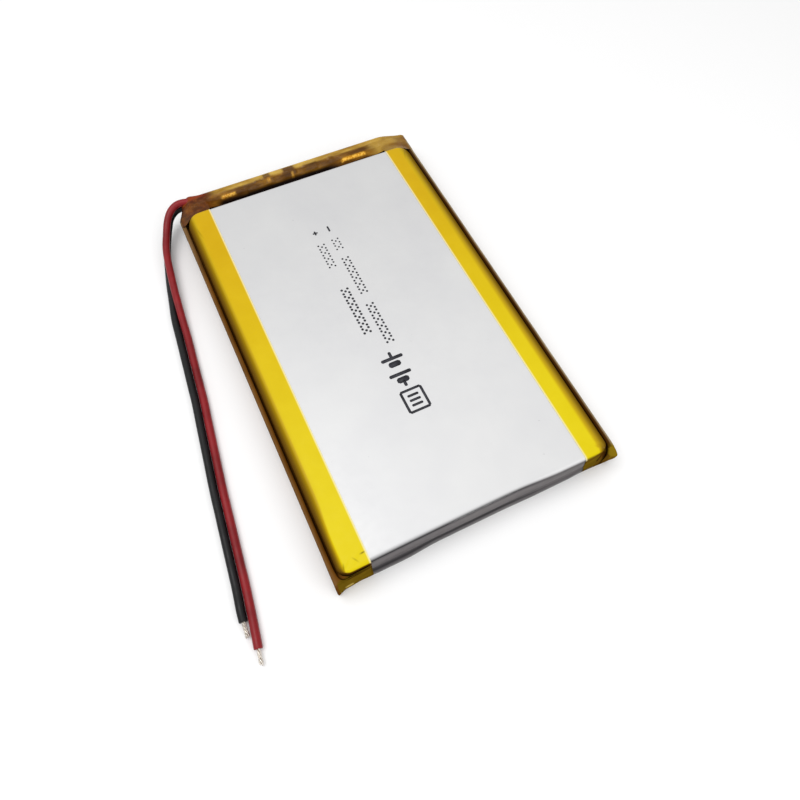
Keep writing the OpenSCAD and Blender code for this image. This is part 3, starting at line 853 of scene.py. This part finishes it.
def tape_finish(name, gloss):
    """Yellow polyester tape on foil: lemon on the flat, painted lighter at the near end as the light falls
    off, with painted olive shade on the folds and brown shade on the seal.
    """
    made = Finish(name, Specular_IOR_Level=gloss)
    # Painted light falloff: lemon lighter at the near end and darker at the far end
    along = made.span(made.axis("Y"), -0.042, 0.04)
    near = made.mottle(240, rgb(216, 195, 18), rgb(221, 201, 26), low=0.25)
    far = made.mottle(240, rgb(199, 159, 14), rgb(206, 167, 20), low=0.25)
    lemon = made.mix(along, near, far)
    # Painted shade: olive to brown where the tape turns over the shoulder and the near edge
    turn = made.painted("turn")
    fold = made.ramp(turn, [(0.0, rgb(204, 174, 18)), (0.3, rgb(184, 152, 18)), (0.55, rgb(142, 112, 16)),
                            (0.8, rgb(112, 84, 18)), (1.0, rgb(98, 68, 18))])
    skin = made.mix(made.span(turn, 0.02, 0.3), lemon, fold)
    # Painted shade on the front walls (olive) and on the seal (brown), with a painted pale highlight on the
    # seal's rim
    olive = made.mottle(500, rgb(96, 74, 12), rgb(114, 90, 20), detail=5)
    side = made.mottle(420, rgb(84, 50, 12), rgb(116, 74, 26), detail=5, stretch=(1, 0.25, 1))
    pale = made.mottle(420, rgb(122, 104, 74), rgb(156, 140, 108), detail=5, stretch=(1, 0.25, 1))
    hem = made.mix(made.painted("pale"), side, pale)
    # Painted shade and light laid over the tape: front and seal shade, the ear's facet, dark lines under the
    # edge and in the crevice, and a painted highlight
    skin = made.cover(skin, (
        ("front", olive), ("hem", hem), ("facet", rgb(128, 104, 18)), ("lip", rgb(84, 50, 10)),
        ("dark", rgb(40, 18, 3)), ("glint", rgb(214, 188, 104)),
    ))
    # Painted shade in the wrinkles
    for x, y, angle, length, width, depth in CREASES:
        dent = made.math("MULTIPLY", made.stroke(x, y, angle, length, width), depth)
        skin = made.mix(dent, skin, rgb(96, 80, 6))
    # Painted highlight along the tape's inner edge on the face
    out_from_middle = made.math("ABSOLUTE", made.axis("X"))
    from_edge = made.math("ABSOLUTE", made.math("SUBTRACT", out_from_middle, TAPE_X * MM))
    cream = made.math("MULTIPLY", made.span(from_edge, 0.0001, 0.00038, 1.0, 0.0), made.painted("edge"))
    skin = made.mix(made.math("MULTIPLY", cream, 0.75), skin, rgb(240, 230, 176))
    rub = made.span(made.noise(1600, detail=6, rough=0.7), 0.66, 0.78)
    skin = made.mix(made.math("MULTIPLY", rub, 0.08), skin, rgb(226, 214, 150))
    made.colour(skin)
    made.roughness(made.span(made.noise(900, detail=4), 0.3, 0.7, 0.3, 0.42))
    ripple = made.math("MULTIPLY", made.noise(350, detail=2, stretch=(1, 0.35, 1)), 3.0)
    made.bump(made.math("ADD", made.noise(3600, detail=4), ripple), 0.000015, 0.45)
    return made.material


YELLOW, YELLOW_FOLD = tape_finish("yellow_tape", 0.08), tape_finish("yellow_tape_fold", 0.0)
SEAL = plain_finish(
    "side_seal_film", rgb(150, 140, 126), rgb(190, 180, 164), 260, (0.35, 0.5), 3200, 0.00002,
    Metallic=0.5,
).material


def in_crevice(side, x, y, z):
    """Mask of the painted crevice shade: 1 down between the cup and the turned-up seal, in a line along the
    seal's inner edge.
    """
    rows = [(side * HEM_IN, SEAM_END[side], HEM_TOP, CREVICE_Z)]
    rows += [(side * row[2], row[3], row[8], row[9]) for row in EARS[side]]
    gap = np.full(len(x), 9.0)
    share = np.ones(len(x))
    for a, b in zip(rows, rows[1:]):
        line = (b[0] - a[0], b[1] - a[1])
        t = np.clip(((x - a[0]) * line[0] + (y - a[1]) * line[1]) / (line[0] ** 2 + line[1] ** 2), 0, 1)
        far = np.hypot(x - a[0] - t * line[0], y - a[1] - t * line[1])
        top, low = a[2] + (b[2] - a[2]) * t, a[3] + (b[3] - a[3]) * t
        nearer = far < gap
        gap = np.where(nearer, far, gap)
        share = np.where(nearer, (z - low) / np.maximum(top - low, 0.2), share)
    return smoothstep(0.3, 0.14, gap) * smoothstep(0.9, 0.5, share) * (share > -0.2) * (z > 0.1)


def trimmed_front(points):
    """The right tape's points, with its edge on the near wall slanted outwards towards the foot."""
    p = np.array(points)
    shift = 1.2 * smoothstep(6.6, 0.4, p[:, 2]) * smoothstep(-42.7, -43.1, p[:, 1])
    p[:, 0] += shift * np.clip(1 - (p[:, 0] - TAPE_X) / 2.4, 0, 1)
    return p


def tape_paints(side, is_hem):
    """Rules for the tape's painted light and shade: dark shade in the crevice and folds, shade on the seal
    and the ear's front, the ear's facet, and painted highlights on the seal's rim, the left ear and the inner
    edge.
    """

    def fade(y):
        return 1 - (0.6 if side < 0 else 0.2) * smoothstep(0, 32, y)

    # Painted shade down in the crevice, on the inner half of the right seal's top, and low beside the seal
    def dark(x, y, z):
        ax = np.abs(x)
        if is_hem:
            inner_half = 0.65 * smoothstep(27.1, 26.95, ax) * (z > 4.9) * (y > -42.6) * (side > 0)
            return np.clip(in_crevice(side, x, y, z) * fade(y) + inner_half, 0, 1)
        return np.clip(0.6 * smoothstep(4.8, 4.2, z) * (y > -43.0) * (ax > 25.2) * fade(y), 0, 1)

    # Painted shade: a dark line under the face's edge, and one low on the right ear
    def lip(x, y, z):
        if is_hem:
            return 0.7 * (side > 0) * np.exp(-(((z - 4.45) / 0.2) ** 2)) * smoothstep(-43.9, -44.2, y)
        return np.exp(-(((z - 6.1) / 0.4) ** 2)) * smoothstep(-42.2, -42.7, y) * (0.9 if side < 0 else 0.7)

    # Painted shade on the near front walls
    def front(x, y, z):
        return smoothstep(-42.9, -43.25, y) * (z > 0.05) * (1 if side < 0 or not is_hem else 0.7)

    # Painted shade where the tape turns over the shoulder and the near edge
    def turn(x, y, z):
        ax = np.abs(x)
        start = 23.5 if side > 0 else 24.2 + 0.7 * smoothstep(-28, -38, y)
        wide = 26.0 - start
        past_x, past_y = np.maximum(ax - start, 0), np.maximum(-41.2 - y, 0)
        corner = np.hypot(past_x, past_y * np.minimum(past_x, 1.0))
        rounded = smoothstep(6.85, 6.45, z) * (y < -42.3)
        return np.clip(np.maximum(corner / wide, rounded), 0, 1)

    # Painted shade on the tape over the seal
    def seal(x, y, z):
        return is_hem * smoothstep(0.0, 0.4, z) * (1 - front(x, y, z) * (np.abs(x) < 27.0 if side < 0 else 1))

    # Painted highlight on the seal's outer rim, and lighter towards the far end
    def pale(x, y, z):
        rim = smoothstep(27.0, 27.2, np.abs(x)) * smoothstep(4.6, 5.0, z)
        return (1.0 if side > 0 else 0.15) * rim + 0.2 * smoothstep(20, 36, y) * (z > 5)

    # Painted shade, lighter than the seal's, on the right ear's facet
    def facet(x, y, z):
        return is_hem * (side > 0) * smoothstep(-41.6, -42.6, y) * smoothstep(3.6, 4.2, z) * (np.abs(x) > 26)

    # Painted highlight on the left ear's front
    def glint(x, y, z):
        return is_hem * (side < 0) * band(np.abs(x), 24.4, 25.8, 0.25) * band(z, 1.5, 2.0, 0.2) * (y < -43.4)

    # Painted highlight along the tape's inner edge on the face
    def edge(x, y, z):
        return smoothstep(6.4, 6.8, z) * (1 - is_hem)

    return {"dark": dark, "lip": lip, "front": front, "turn": turn, "hem": seal, "pale": pale,
            "facet": facet, "glint": glint, "edge": edge}


for side, name in ((-1, "left"), (1, "right")):
    seal = piece(f"seal_{name}", *seal_solid(side), [SEAL])
    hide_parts(f"side_seal_{name}")

    over_cup = keep_beyond(*cup_surface(TAPE_Z, foot=0.1), side * TAPE_X)
    if side > 0:
        over_cup = (trimmed_front(over_cup[0]), over_cup[1])
    tape = piece(f"yellow_tape_{name}", *over_cup, [YELLOW, YELLOW_FOLD], outward=False)
    face_up(tape, (side * 0.2, 0, 1))
    hem = piece(f"yellow_hem_{name}", *hem_surface(side), [YELLOW_FOLD])
    face_up(hem, (side, 0, 0))
    for part, is_hem in ((tape, 0), (hem, 1)):
        thicken(part, TAPE_T)
        # Painted light and shade on the tape, by the rules above
        for shade, rule in tape_paints(side, is_hem).items():
            paint(part, shade, rule)
    second_finish(tape, lambda x, y, z: abs(x) > 25.0 or y < -42.6)
    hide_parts(f"edge_tape_{name}")

# ---- Amber tape round the board ----

# Half width of the amber tape, and how far out it starts to be drawn in on the left
WRAP_X, DRAWN_X = 27.54, 20
WRAP_REAR = 44.5
WRAP_TOP = 7.12
# Where the valley starts, and where the tape starts to lap over the cup's shoulder
VALLEY_Y, LAP_Y, LAP_L = 40.0, 38.4, 4.4
BOARD_TOP_Y = 43.2


def wrap_crest(x):
    """Height of the taped end over the board, from its left end to its right."""
    if x > 0:
        return WRAP_TOP - 1.35 * ease(20.6, 27.6, x)
    return WRAP_TOP - 0.15 * ease(-21, -25, x) - 1.0 * ease(-24.8, -27.6, x)


def wrap_bumps(x, y):
    """Parts under the tape that lift it: the chips, the straps and small folds."""
    lift = 0.0
    for cx, half, low, high, rise in (
        (-6.2, 1.1, 42.0, 43.3, 0.28), (-1.3, 1.5, 42.0, 43.4, 0.34), (3.6, 1.5, 42.0, 43.3, 0.25),
        (-14, 2.5, 41.2, 42.3, 0.3), (14, 2.8, 41.0, 42.2, 0.22), (-8.6, 0.6, 42.4, 43.3, 0.2),
        (8.6, 0.5, 42.4, 43.3, 0.18),
    ):
        across = ease(half + 0.35, half - 0.15, abs(x - cx))
        depth = float(smoothstep(low - 0.3, low + 0.2, y) * smoothstep(high + 0.35, high - 0.1, y))
        lift += rise * across * depth
    fold = noise.noise(Vector((x * 0.55, y * 1.1, 4.2)))
    fine = noise.noise(Vector((x * 1.7, y * 2.4, 9.1)))
    return lift + 0.09 * fold + 0.045 * fine


DEEP = ((0, -1.3), (0.12, -1.9), (0.3, -1.9), (0.48, -1.45), (0.66, -0.85), (0.84, -0.3), (1, 0))
SHALLOW = ((0, -0.25), (0.15, -0.5), (0.35, -0.55), (0.6, -0.35), (0.85, -0.1), (1, 0))


def valley(x):
    """How deep the tape sinks between the cup and the board: 0 at the ends to 1 in the middle."""
    return float(smoothstep(-20.5, -15.5, x) * (1 - 0.75 * smoothstep(5.5, 11.5, x))) * float(
        smoothstep(20.8, 18.5, x)
    )


def cup_skin(x):
    """Height of the yellow tape's shoulder and seal that the amber tape lies on, across a side."""
    ax = abs(x)
    return 7.2 - 0.42 * ease(23.6, 25.9, ax) - 0.95 * ease(24.9, 27.4, ax)


def wrap_height(x, y):
    """Height of the amber tape's top."""
    t = min(max((y - VALLEY_Y) / (BOARD_TOP_Y - VALLEY_Y), 0), 1)
    crest = wrap_crest(x)
    deep = valley(x)
    middle = crest + deep * follow(DEEP, t) + (1 - deep) * follow(SHALLOW, t)
    middle += wrap_bumps(x, y) * ease(0, 0.25, t) * ease(44.4, 43.6, y)
    lap = min(max((y - LAP_Y) / LAP_L, 0), 1)
    sag = 0.28 * math.sin(math.pi * lap)
    edge = max(cup_skin(x) * (1 - lap) + crest * lap - sag, 5.8 * ease(25.4, 26.3, abs(x)))
    edge += 0.5 * wrap_bumps(x, y) * ease(44.3, 43.4, y) * ease(39.6, 40.6, y)
    outer = ease(20.2, 20.9, abs(x))
    return min(middle * (1 - outer) + edge * outer, FACE_Z)


def wrap_front(x):
    """Where the amber tape starts on the cup, across the top."""
    if abs(x) < TAPE_X:
        return 40.14
    if x > 0:
        return 39.75 - 0.09 * (x - TAPE_X)
    return 39.6 - 0.06 * (-x - TAPE_X) - 1.1 * ease(-23.5, -27.4, x)


def wrap_loop():
    """Points round the taped end: kind and place of each, from the lower left round the top."""
    loop = []
    for z in (0.25, 1.2, 2.2, 3.2, 4.2, 5.0):
        loop.append(("left", z))
    for x in [*np.arange(-27.1, 27.15, 0.25)]:
        loop.append(("top", float(x)))
    for z in (5.0, 4.2, 3.2, 2.2, 1.2, 0.25):
        loop.append(("right", z))
    for x in [27.2, 26.4, 24.5, 22.5, 20.8, 20.6, *np.arange(19, -19.5, -1.0), -20.6, -20.8, -22.5,
              -24.5, -26.4, -27.2]:
        loop.append(("bottom", float(x)))
    return loop


def left_limit(y):
    """How far left the amber tape reaches: it is drawn in behind the leads."""
    return 27.5 - 2.0 * smoothstep(39.5, 44.8, y)


def far_corner(x, y):
    """Draws the tape in behind the leads, at the board's left end."""
    reach = (float(left_limit(y)) - DRAWN_X) / (WRAP_X - DRAWN_X)
    return x if x > -DRAWN_X else -DRAWN_X + (x + DRAWN_X) * reach


def over_leads(x, y, z):
    """How far the tape swells back over the two leads, at its rear left corner."""
    return 0.75 * smoothstep(-21, -24.6, x) * smoothstep(2.2, 3.6, z) * smoothstep(42.6, 44.4, y)


def wrap_point(kind, at, share):
    """A point of the loop at a share of the way from the tape's front edge to the board's rear."""
    if kind == "top":
        y = wrap_front(at) + (WRAP_REAR - wrap_front(at)) * share
        return far_corner(at, y), y, wrap_height(at, y)
    if kind == "bottom":
        front = 37.0 if abs(at) < 20.65 else 42.05
        y = front + (WRAP_REAR - front) * share
        return far_corner(at, y), y, 0.0 if abs(at) < 27 else 0.03
    sign = -1 if kind == "left" else 1
    front = (38.5 if sign < 0 else 39.2) + (3.5 if at < 0.5 else 0.0)
    y = front + (WRAP_REAR - front) * share
    crest = wrap_height(sign * 27.1, y)
    z = at / 5.0 * (crest - 0.35) if at > 0.5 else at
    bulge = 0.03 * noise.noise(Vector((sign * 3, y * 0.9, z * 0.8)))
    return far_corner(sign * (WRAP_X + bulge), y), y, z


def wrap_surface():
    """The whole amber tape: round the board end, and closed over its rear face."""
    loop = wrap_loop()
    shares = [0, 0.03, 0.07, *np.linspace(0.12, 0.9, 24), 0.93]
    points = [wrap_point(kind, at, share) for share in shares for kind, at in loop]
    rear_r = 0.3
    rim = [wrap_point(kind, at, 1.0) for kind, at in loop]
    middle = Vector((0, 0, 3.5))
    rows = len(shares)
    for a in np.radians((0, 25, 50, 72, 90)):
        for x, y, z in rim:
            inset = rear_r * (1 - math.cos(a))
            px = x - math.copysign(min(inset, abs(x)), x) if abs(x) > 26 else x
            pz = z + (inset if z < middle.z else -inset)
            points.append((px, WRAP_REAR - rear_r * (1 - math.sin(a)), pz))
        rows += 1
    last = points[-len(loop):]
    for share in (0.08, 0.2, 0.35, 0.5, 0.65, 0.8, 0.92, 1.0):
        for x, y, z in last:
            cx = min(max(x, -24.5), 24.5)
            px, pz = x + (cx - x) * share, z + (middle.z - z) * share
            dent = 0.09 * (1 + noise.noise(Vector((px * 0.35, pz * 0.7, 7.7)))) * math.sin(
                math.pi * min(share, 0.5)
            )
            points.append((px, y - dent, pz))
        rows += 1
    points = [(x, y + float(over_leads(x, y, z)), z) for x, y, z in points]
    return points, grid_faces(rows, len(loop), closed=True)


def amber_depth(x, y, z):
    """Painted shade: 0 on top of the board to 1 down in the valley, where the tape is painted nearly black,
    with painted dark lines along the tape's front and its left rim.
    """
    crest = np.array([wrap_crest(float(v)) for v in x])
    deep = smoothstep(0.65, 1.35, crest - z) * smoothstep(42.3, 41.6, y) * (y > 40.05)
    front = 0.6 * band(y, 40.1, 40.6, 0.15) * band(x, -20, 17, 1)
    left_rim = 0.62 * smoothstep(0.9, 0.1, x + left_limit(y)) * smoothstep(44.0, 42.8, y)
    return np.clip(deep * band(x, -18.5, 10.5, 1.5) + front + left_rim, 0, 1)


# Patches seen through the amber tape: span and softness along X, then along Y, and how strong
CHIP_PATCHES = (
    ((-7.2, -5.6, 0.25), (42.8, 44.3, 0.3), 0.85), ((-2.6, 0.0, 0.25), (42.5, 44.2, 0.3), 1.0),
    ((2.6, 5.4, 0.3), (41.9, 42.7, 0.3), 0.35), ((-12.2, -9.8, 0.4), (42.3, 43.0, 0.25), 0.6),
    ((6.3, 9.3, 0.4), (41.8, 42.3, 0.2), 0.6),
)
# Bright straps seen through the tape, partly painted highlight, and painted highlights on folds beside the
# chips
GLINT_PATCHES = (
    ((10.8, 16.6, 0.3), (41.15, 41.85, 0.2), 1.0), ((-17.2, -14.1, 0.3), (41.95, 42.45, 0.18), 0.9),
    ((-6.5, -5.9, 0.2), (42.2, 42.8, 0.25), 0.8), ((-1.0, -0.5, 0.2), (41.9, 42.5, 0.2), 0.7),
)


def patches(table, x, y):
    """How strongly a table's soft rectangles cover each place, up to 1."""
    seen = sum(band(x, *along) * band(y, *deep) * strength for along, deep, strength in table)
    return np.clip(seen, 0, 1)


def amber_chips(x, y, z):
    """Dark moulded chips that show through the tape."""
    return patches(CHIP_PATCHES, x, y) * (z > 4.5)


def amber_glints(x, y, z):
    """The two straps' bright metal seen through the tape, part their colour and part painted highlight, and
    painted highlights on folds beside the chips.
    """
    return patches(GLINT_PATCHES, x, y) * (z > 4.0)


def amber_red(x, y, z):
    """Reddish brown where the leads run under the tape, and orange on the drapes at both ends."""
    left = smoothstep(-18.5, -21.0, x) * (0.75 + 0.25 * smoothstep(42.2, 43.4, y))
    right = 0.55 * smoothstep(23.5, 25.5, x) * smoothstep(43.9, 43.2, y)
    right += 0.3 * band(x, 17.5, 19.5, 0.5) * (y < 42)
    return np.clip(left + right, 0, 1) * (y > 37.5)


def amber_under(x, y, z):
    """The red lead, seen faintly through the tape along its rear left edge."""
    return 0.8 * band(y, 43.7, 45.3, 0.4) * smoothstep(-19.5, -21.5, x) * smoothstep(4.6, 5.4, z)


def amber_lit(x, y, z):
    """Painted light: the golden band where the top of the board catches the light, and golden over the right
    end.
    """
    top = band(y, 43.1, 44.6, 0.25) * smoothstep(6.2, 6.8, z) * smoothstep(-20, -17, x)
    right = smoothstep(16.5, 19.5, x) * (0.55 + 0.3 * smoothstep(41, 43, y)) * smoothstep(4.6, 5.4, z)
    return np.maximum(top, right)


def amber_finish(name, gloss):
    """Polyimide tape over a board: painted golden light on top, brown on the folds, painted black shade in
    the valley.
    """
    made = Finish(name, Specular_IOR_Level=gloss)
    streak = made.noise(900, detail=5, stretch=(0.22, 1, 1))
    brown = made.ramp(streak, [(0.3, rgb(72, 42, 9)), (0.5, rgb(106, 68, 16)), (0.72, rgb(150, 104, 30))])
    gold = made.mottle(560, rgb(146, 106, 30), rgb(206, 170, 80), detail=5, stretch=(0.35, 1, 1))
    orange = made.ramp(made.noise(700, detail=5),
                       [(0.3, rgb(54, 20, 4)), (0.5, rgb(84, 36, 8)), (0.72, rgb(124, 68, 18))])
    weld = made.span(made.noise(2200, detail=2), 0.4, 0.6)
    metal = made.mix(weld, rgb(196, 132, 34), rgb(240, 186, 74))
    # Painted golden light on top, painted black shade in the valley and painted highlights on straps and
    # folds; orange, the red lead and the chips are seen through the tape
    made.colour(made.cover(brown, (
        ("lit", gold), ("red", orange), ("under", rgb(140, 54, 18)), ("chips", rgb(92, 60, 22)),
        ("depth", rgb(16, 6, 4)), ("glints", metal),
    )))
    made.roughness(made.span(made.noise(800, detail=4), 0.3, 0.7, 0.16, 0.36))
    wrinkle = made.math("MULTIPLY", made.noise(620, detail=3, stretch=(0.5, 1, 1)), 3.0)
    made.bump(made.math("ADD", wrinkle, made.noise(3000, detail=4)), 0.00005, 0.8)
    return made.material


AMBER, AMBER_VALLEY = amber_finish("amber_tape", 0.16), amber_finish("amber_tape_valley", 0.02)
wrap = piece("amber_tape", *wrap_surface(), [AMBER, AMBER_VALLEY])
face_up(wrap, (0, 1, 0))
thicken(wrap, AMBER_T)
second_finish(wrap, lambda x, y, z: abs(x) < TAPE_X and y < 42 and z > 3)
# Painted shade, painted light and highlights, and parts seen through the tape
for name, rule in (("depth", amber_depth), ("chips", amber_chips), ("glints", amber_glints),
                   ("red", amber_red), ("under", amber_under), ("lit", amber_lit)):
    paint(wrap, name, rule)
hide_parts("board_tape")

# ---- Plain print on the face ----

INK_Z = 0.006
INK_T = 0.012


def ink(shape):
    """A flat printed shape from its outline, lying on the crowned face."""
    n = len(shape)
    low = [(x, y, float(face_height(x, y)) + INK_Z) for x, y in shape]
    high = [(x, y, z + INK_T) for x, y, z in low]
    faces = [tuple(range(n))[::-1], tuple(range(n, 2 * n))]
    faces += [(k, (k + 1) % n, n + (k + 1) % n, n + k) for k in range(n)]
    return low + high, faces


def bar(x0, y0, x1, y1, width):
    """A straight printed stroke with eased ends."""
    a, b = Vector((x0, y0)), Vector((x1, y1))
    along = (b - a).normalized()
    side = Vector((-along.y, along.x)) * width / 2
    ease = along * width * 0.3
    return ink([tuple(p) for p in (a - side + ease, a - side * 0.5, a + side * 0.5, a + side + ease,
                                   b + side - ease, b + side * 0.5, b - side * 0.5, b - side - ease)][::-1])


def dot(x, y, radius):
    return ink([(x + radius * math.cos(2 * math.pi * k / 8), y + radius * math.sin(2 * math.pi * k / 8))
                for k in range(8)])


def dotted_block(x, y, columns, radius=0.2, pitch=0.5, rows=3):
    """A plain block of dots that stands for a printed word and says nothing."""
    return [
        dot(x + (r - (rows - 1) / 2) * 0.62, y - c * pitch, radius)
        for c in range(columns)
        for r in range(rows)
        if (c + r) % 2 == 0
    ]


def face_print():
    """Polarity signs, two lines of dotted blocks, a battery symbol and a lined frame."""
    minus = [bar(0.1, 24.5, 0.1, 23.0, 0.38)]
    plus = [bar(-2.9, 24.3, -2.9, 23.2, 0.34), bar(-3.45, 23.75, -2.35, 23.75, 0.34)]
    parts = minus + plus
    for x, y, letters, radius in ((0.2, 20.6, 2, 0.2), (0.2, 15.2, 6, 0.23), (0, 2.7, 6, 0.25),
                                  (-3, 20.3, 4, 0.21), (-3.1, 8, 7, 0.27)):
        for k in range(letters):
            parts += dotted_block(x, y - 1.68 * k, 3, radius)
    for y, reach, width in ((-10.3, 2.2, 0.7), (-11.6, 1.2, 1.2), (-13.9, 2.2, 0.7), (-15.2, 1.2, 1.2)):
        parts.append(bar(-1.4 - reach, y, -1.4 + reach, y, width))
    parts += [bar(-1.4, -8.8, -1.4, -10.2, 0.6), bar(-1.4, -15.3, -1.4, -16.7, 0.6)]
    left, right, top, low = -3.2, 0.8, -17.6, -22.0
    parts += [bar(left, top, right, top, 0.5), bar(right, top, right, low, 0.5),
              bar(right, low, left, low, 0.5), bar(left, low, left, top, 0.5)]
    parts += [bar(left + 0.9, y, right - 0.9, y, 0.5) for y in (-18.8, -19.8, -20.8)]
    return joined(*parts)


INK = plain_finish("print_ink", rgb(20, 20, 26), rgb(44, 44, 54), 900, (0.5, 0.7), 4000, 0.00001).material
piece("face_print", *face_print(), [INK])

# ---- Finishes of the parts inside ----


def plate_finish(name, coat_dark, coat_light, foil_dark, foil_light):
    """A coated electrode with its bare foil tongue beyond the coating."""
    made = Finish(name)
    coat = made.ramp(made.noise(1200, detail=6, rough=0.7), [(0.3, coat_dark), (0.7, coat_light)])
    foil = made.mottle(500, foil_dark, foil_light, stretch=(1, 0.2, 1))
    bare = made.span(made.axis("Y"), 0.0359, 0.0361)
    made.colour(made.mix(bare, coat, foil))
    made.roughness(made.span(made.noise(900), 0.3, 0.7, 0.6, 0.85))
    made.bump(made.noise(5000, detail=5), 0.00001)
    return made.material


def board_finish():
    """Green laminate with plated pads and a darker mottle of tracks."""
    made = Finish("board_laminate", Coat_Weight=0.3, Coat_Roughness=0.2)
    base = made.mottle(350, rgb(14, 62, 34), rgb(24, 88, 48))
    track = made.span(made.noise(600, detail=1, stretch=(0.3, 1, 1)), 0.52, 0.56)
    made.colour(made.mix(made.math("MULTIPLY", track, 0.5), base, rgb(40, 116, 66)))
    made.roughness(made.span(made.noise(700), 0.3, 0.7, 0.3, 0.5))
    made.bump(made.math("ADD", made.noise(2600, detail=3), track), 0.00002)
    return made.material


# Each plain inner node's finish: name, darker and lighter colour, size of the mottle, range of the
# roughness, size of the grain and depth of the grain
PLAIN_LOOKS = {
    "separator": ("separator_film", (226, 226, 222), (244, 244, 242), 500, (0.4, 0.6), 4000, 0.00001),
    "stack_tapes": ("stack_tape", (34, 132, 74), (54, 160, 96), 400, (0.3, 0.45), 3000, 0.00001),
    "positive_tab": ("aluminium_tab", (168, 170, 174), (206, 208, 211), 600, (0.25, 0.45), 3500, 0.00001),
    "negative_tab": ("nickel_tab", (158, 152, 142), (196, 190, 178), 600, (0.25, 0.45), 3500, 0.00001),
    "tab_sealants": ("tab_sealant", (18, 18, 20), (38, 38, 42), 700, (0.4, 0.6), 3000, 0.00001),
    "protection_ic": ("chip_moulding", (20, 20, 22), (42, 42, 46), 1500, (0.5, 0.7), 6000, 0.00001),
    "power_mosfets": ("transistor_moulding", (18, 18, 20), (38, 38, 42), 1500, (0.5, 0.7), 6000, 0.00001),
    "resistors": ("resistor_body", (26, 26, 30), (60, 60, 66), 2400, (0.4, 0.6), 7000, 0.00001),
    "capacitors": ("capacitor_body", (146, 106, 66), (184, 142, 96), 2400, (0.4, 0.6), 7000, 0.00001),
    "nickel_straps": ("nickel_strap", (168, 160, 146), (208, 200, 184), 900, (0.25, 0.45), 3000, 0.00002),
    "insulating_paper": ("insulating_paper", (196, 206, 186), (222, 230, 212), 500, (0.7, 0.85), 4500,
                         0.00002),
    "adhesive_pad": ("adhesive_foam", (214, 212, 206), (236, 234, 230), 900, (0.8, 0.95), 3500, 0.00003),
    "solder_joints": ("solder", (150, 152, 156), (206, 208, 212), 1500, (0.2, 0.4), 4000, 0.00001),
}


def paint_inside():
    """A finish of its own for each CAD node that is carried over."""
    looks = {
        "cathode_plates": plate_finish("cathode_coating", rgb(24, 24, 27), rgb(46, 46, 50),
                                       rgb(170, 172, 176), rgb(206, 208, 210)),
        "anode_plates": plate_finish("anode_coating", rgb(50, 50, 54), rgb(78, 78, 82),
                                     rgb(168, 98, 62), rgb(206, 132, 90)),
        "circuit_board": board_finish(),
    }
    metals = ("positive_tab", "negative_tab", "nickel_straps", "solder_joints")
    for node, (name, dark, light, scale, rough, grain, depth) in PLAIN_LOOKS.items():
        shader = {"Metallic": 1.0} if node in metals else {}
        looks[node] = plain_finish(
            name, rgb(*dark), rgb(*light), scale, rough, grain, depth, **shader
        ).material
    for node, material in looks.items():
        for slot_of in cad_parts[node].material_slots:
            slot_of.material = material


paint_inside()

# ---- Floor and light ----

FLOOR_HALF = 1500


def make_stage():
    """A plain pale floor, two broad soft lights and an even sky."""
    points = [(-FLOOR_HALF, -FLOOR_HALF, -0.01), (FLOOR_HALF, -FLOOR_HALF, -0.01),
              (FLOOR_HALF, FLOOR_HALF, -0.01), (-FLOOR_HALF, FLOOR_HALF, -0.01)]
    mesh = bpy.data.meshes.new("floor")
    mesh.from_pydata([tuple(v * MM for v in p) for p in points], [], [(0, 1, 2, 3)])
    made = Finish("floor_finish", Roughness=0.9)
    made.colour(made.mottle(8, (0.93, 0.93, 0.93), (0.94, 0.94, 0.94), detail=2))
    mesh.materials.append(made.material)
    added("floor", mesh)

    for name, place, aim, size, power in (
        ("key", (-120, 40, 420), (0, -10, 0), 360, 0.98),
        ("fill", (120, -300, 260), (0, 0, 0), 300, 0.32),
    ):
        data = bpy.data.lights.new(name, "AREA")
        data.shape, data.size, data.energy = "DISK", size * MM, power
        lamp = added(name, data)
        lamp.location = Vector(place) * MM
        lamp.rotation_mode = "QUATERNION"
        lamp.rotation_quaternion = (Vector(aim) - Vector(place)).to_track_quat("-Z", "Y")

    world = bpy.data.worlds.new("sky")
    bpy.context.scene.world = world
    world.use_nodes = True
    background = world.node_tree.nodes["Background"]
    background.inputs["Color"].default_value = (1, 1, 1, 1)
    background.inputs["Strength"].default_value = 0.64
    bpy.context.scene.view_settings.view_transform = "Standard"


make_stage()
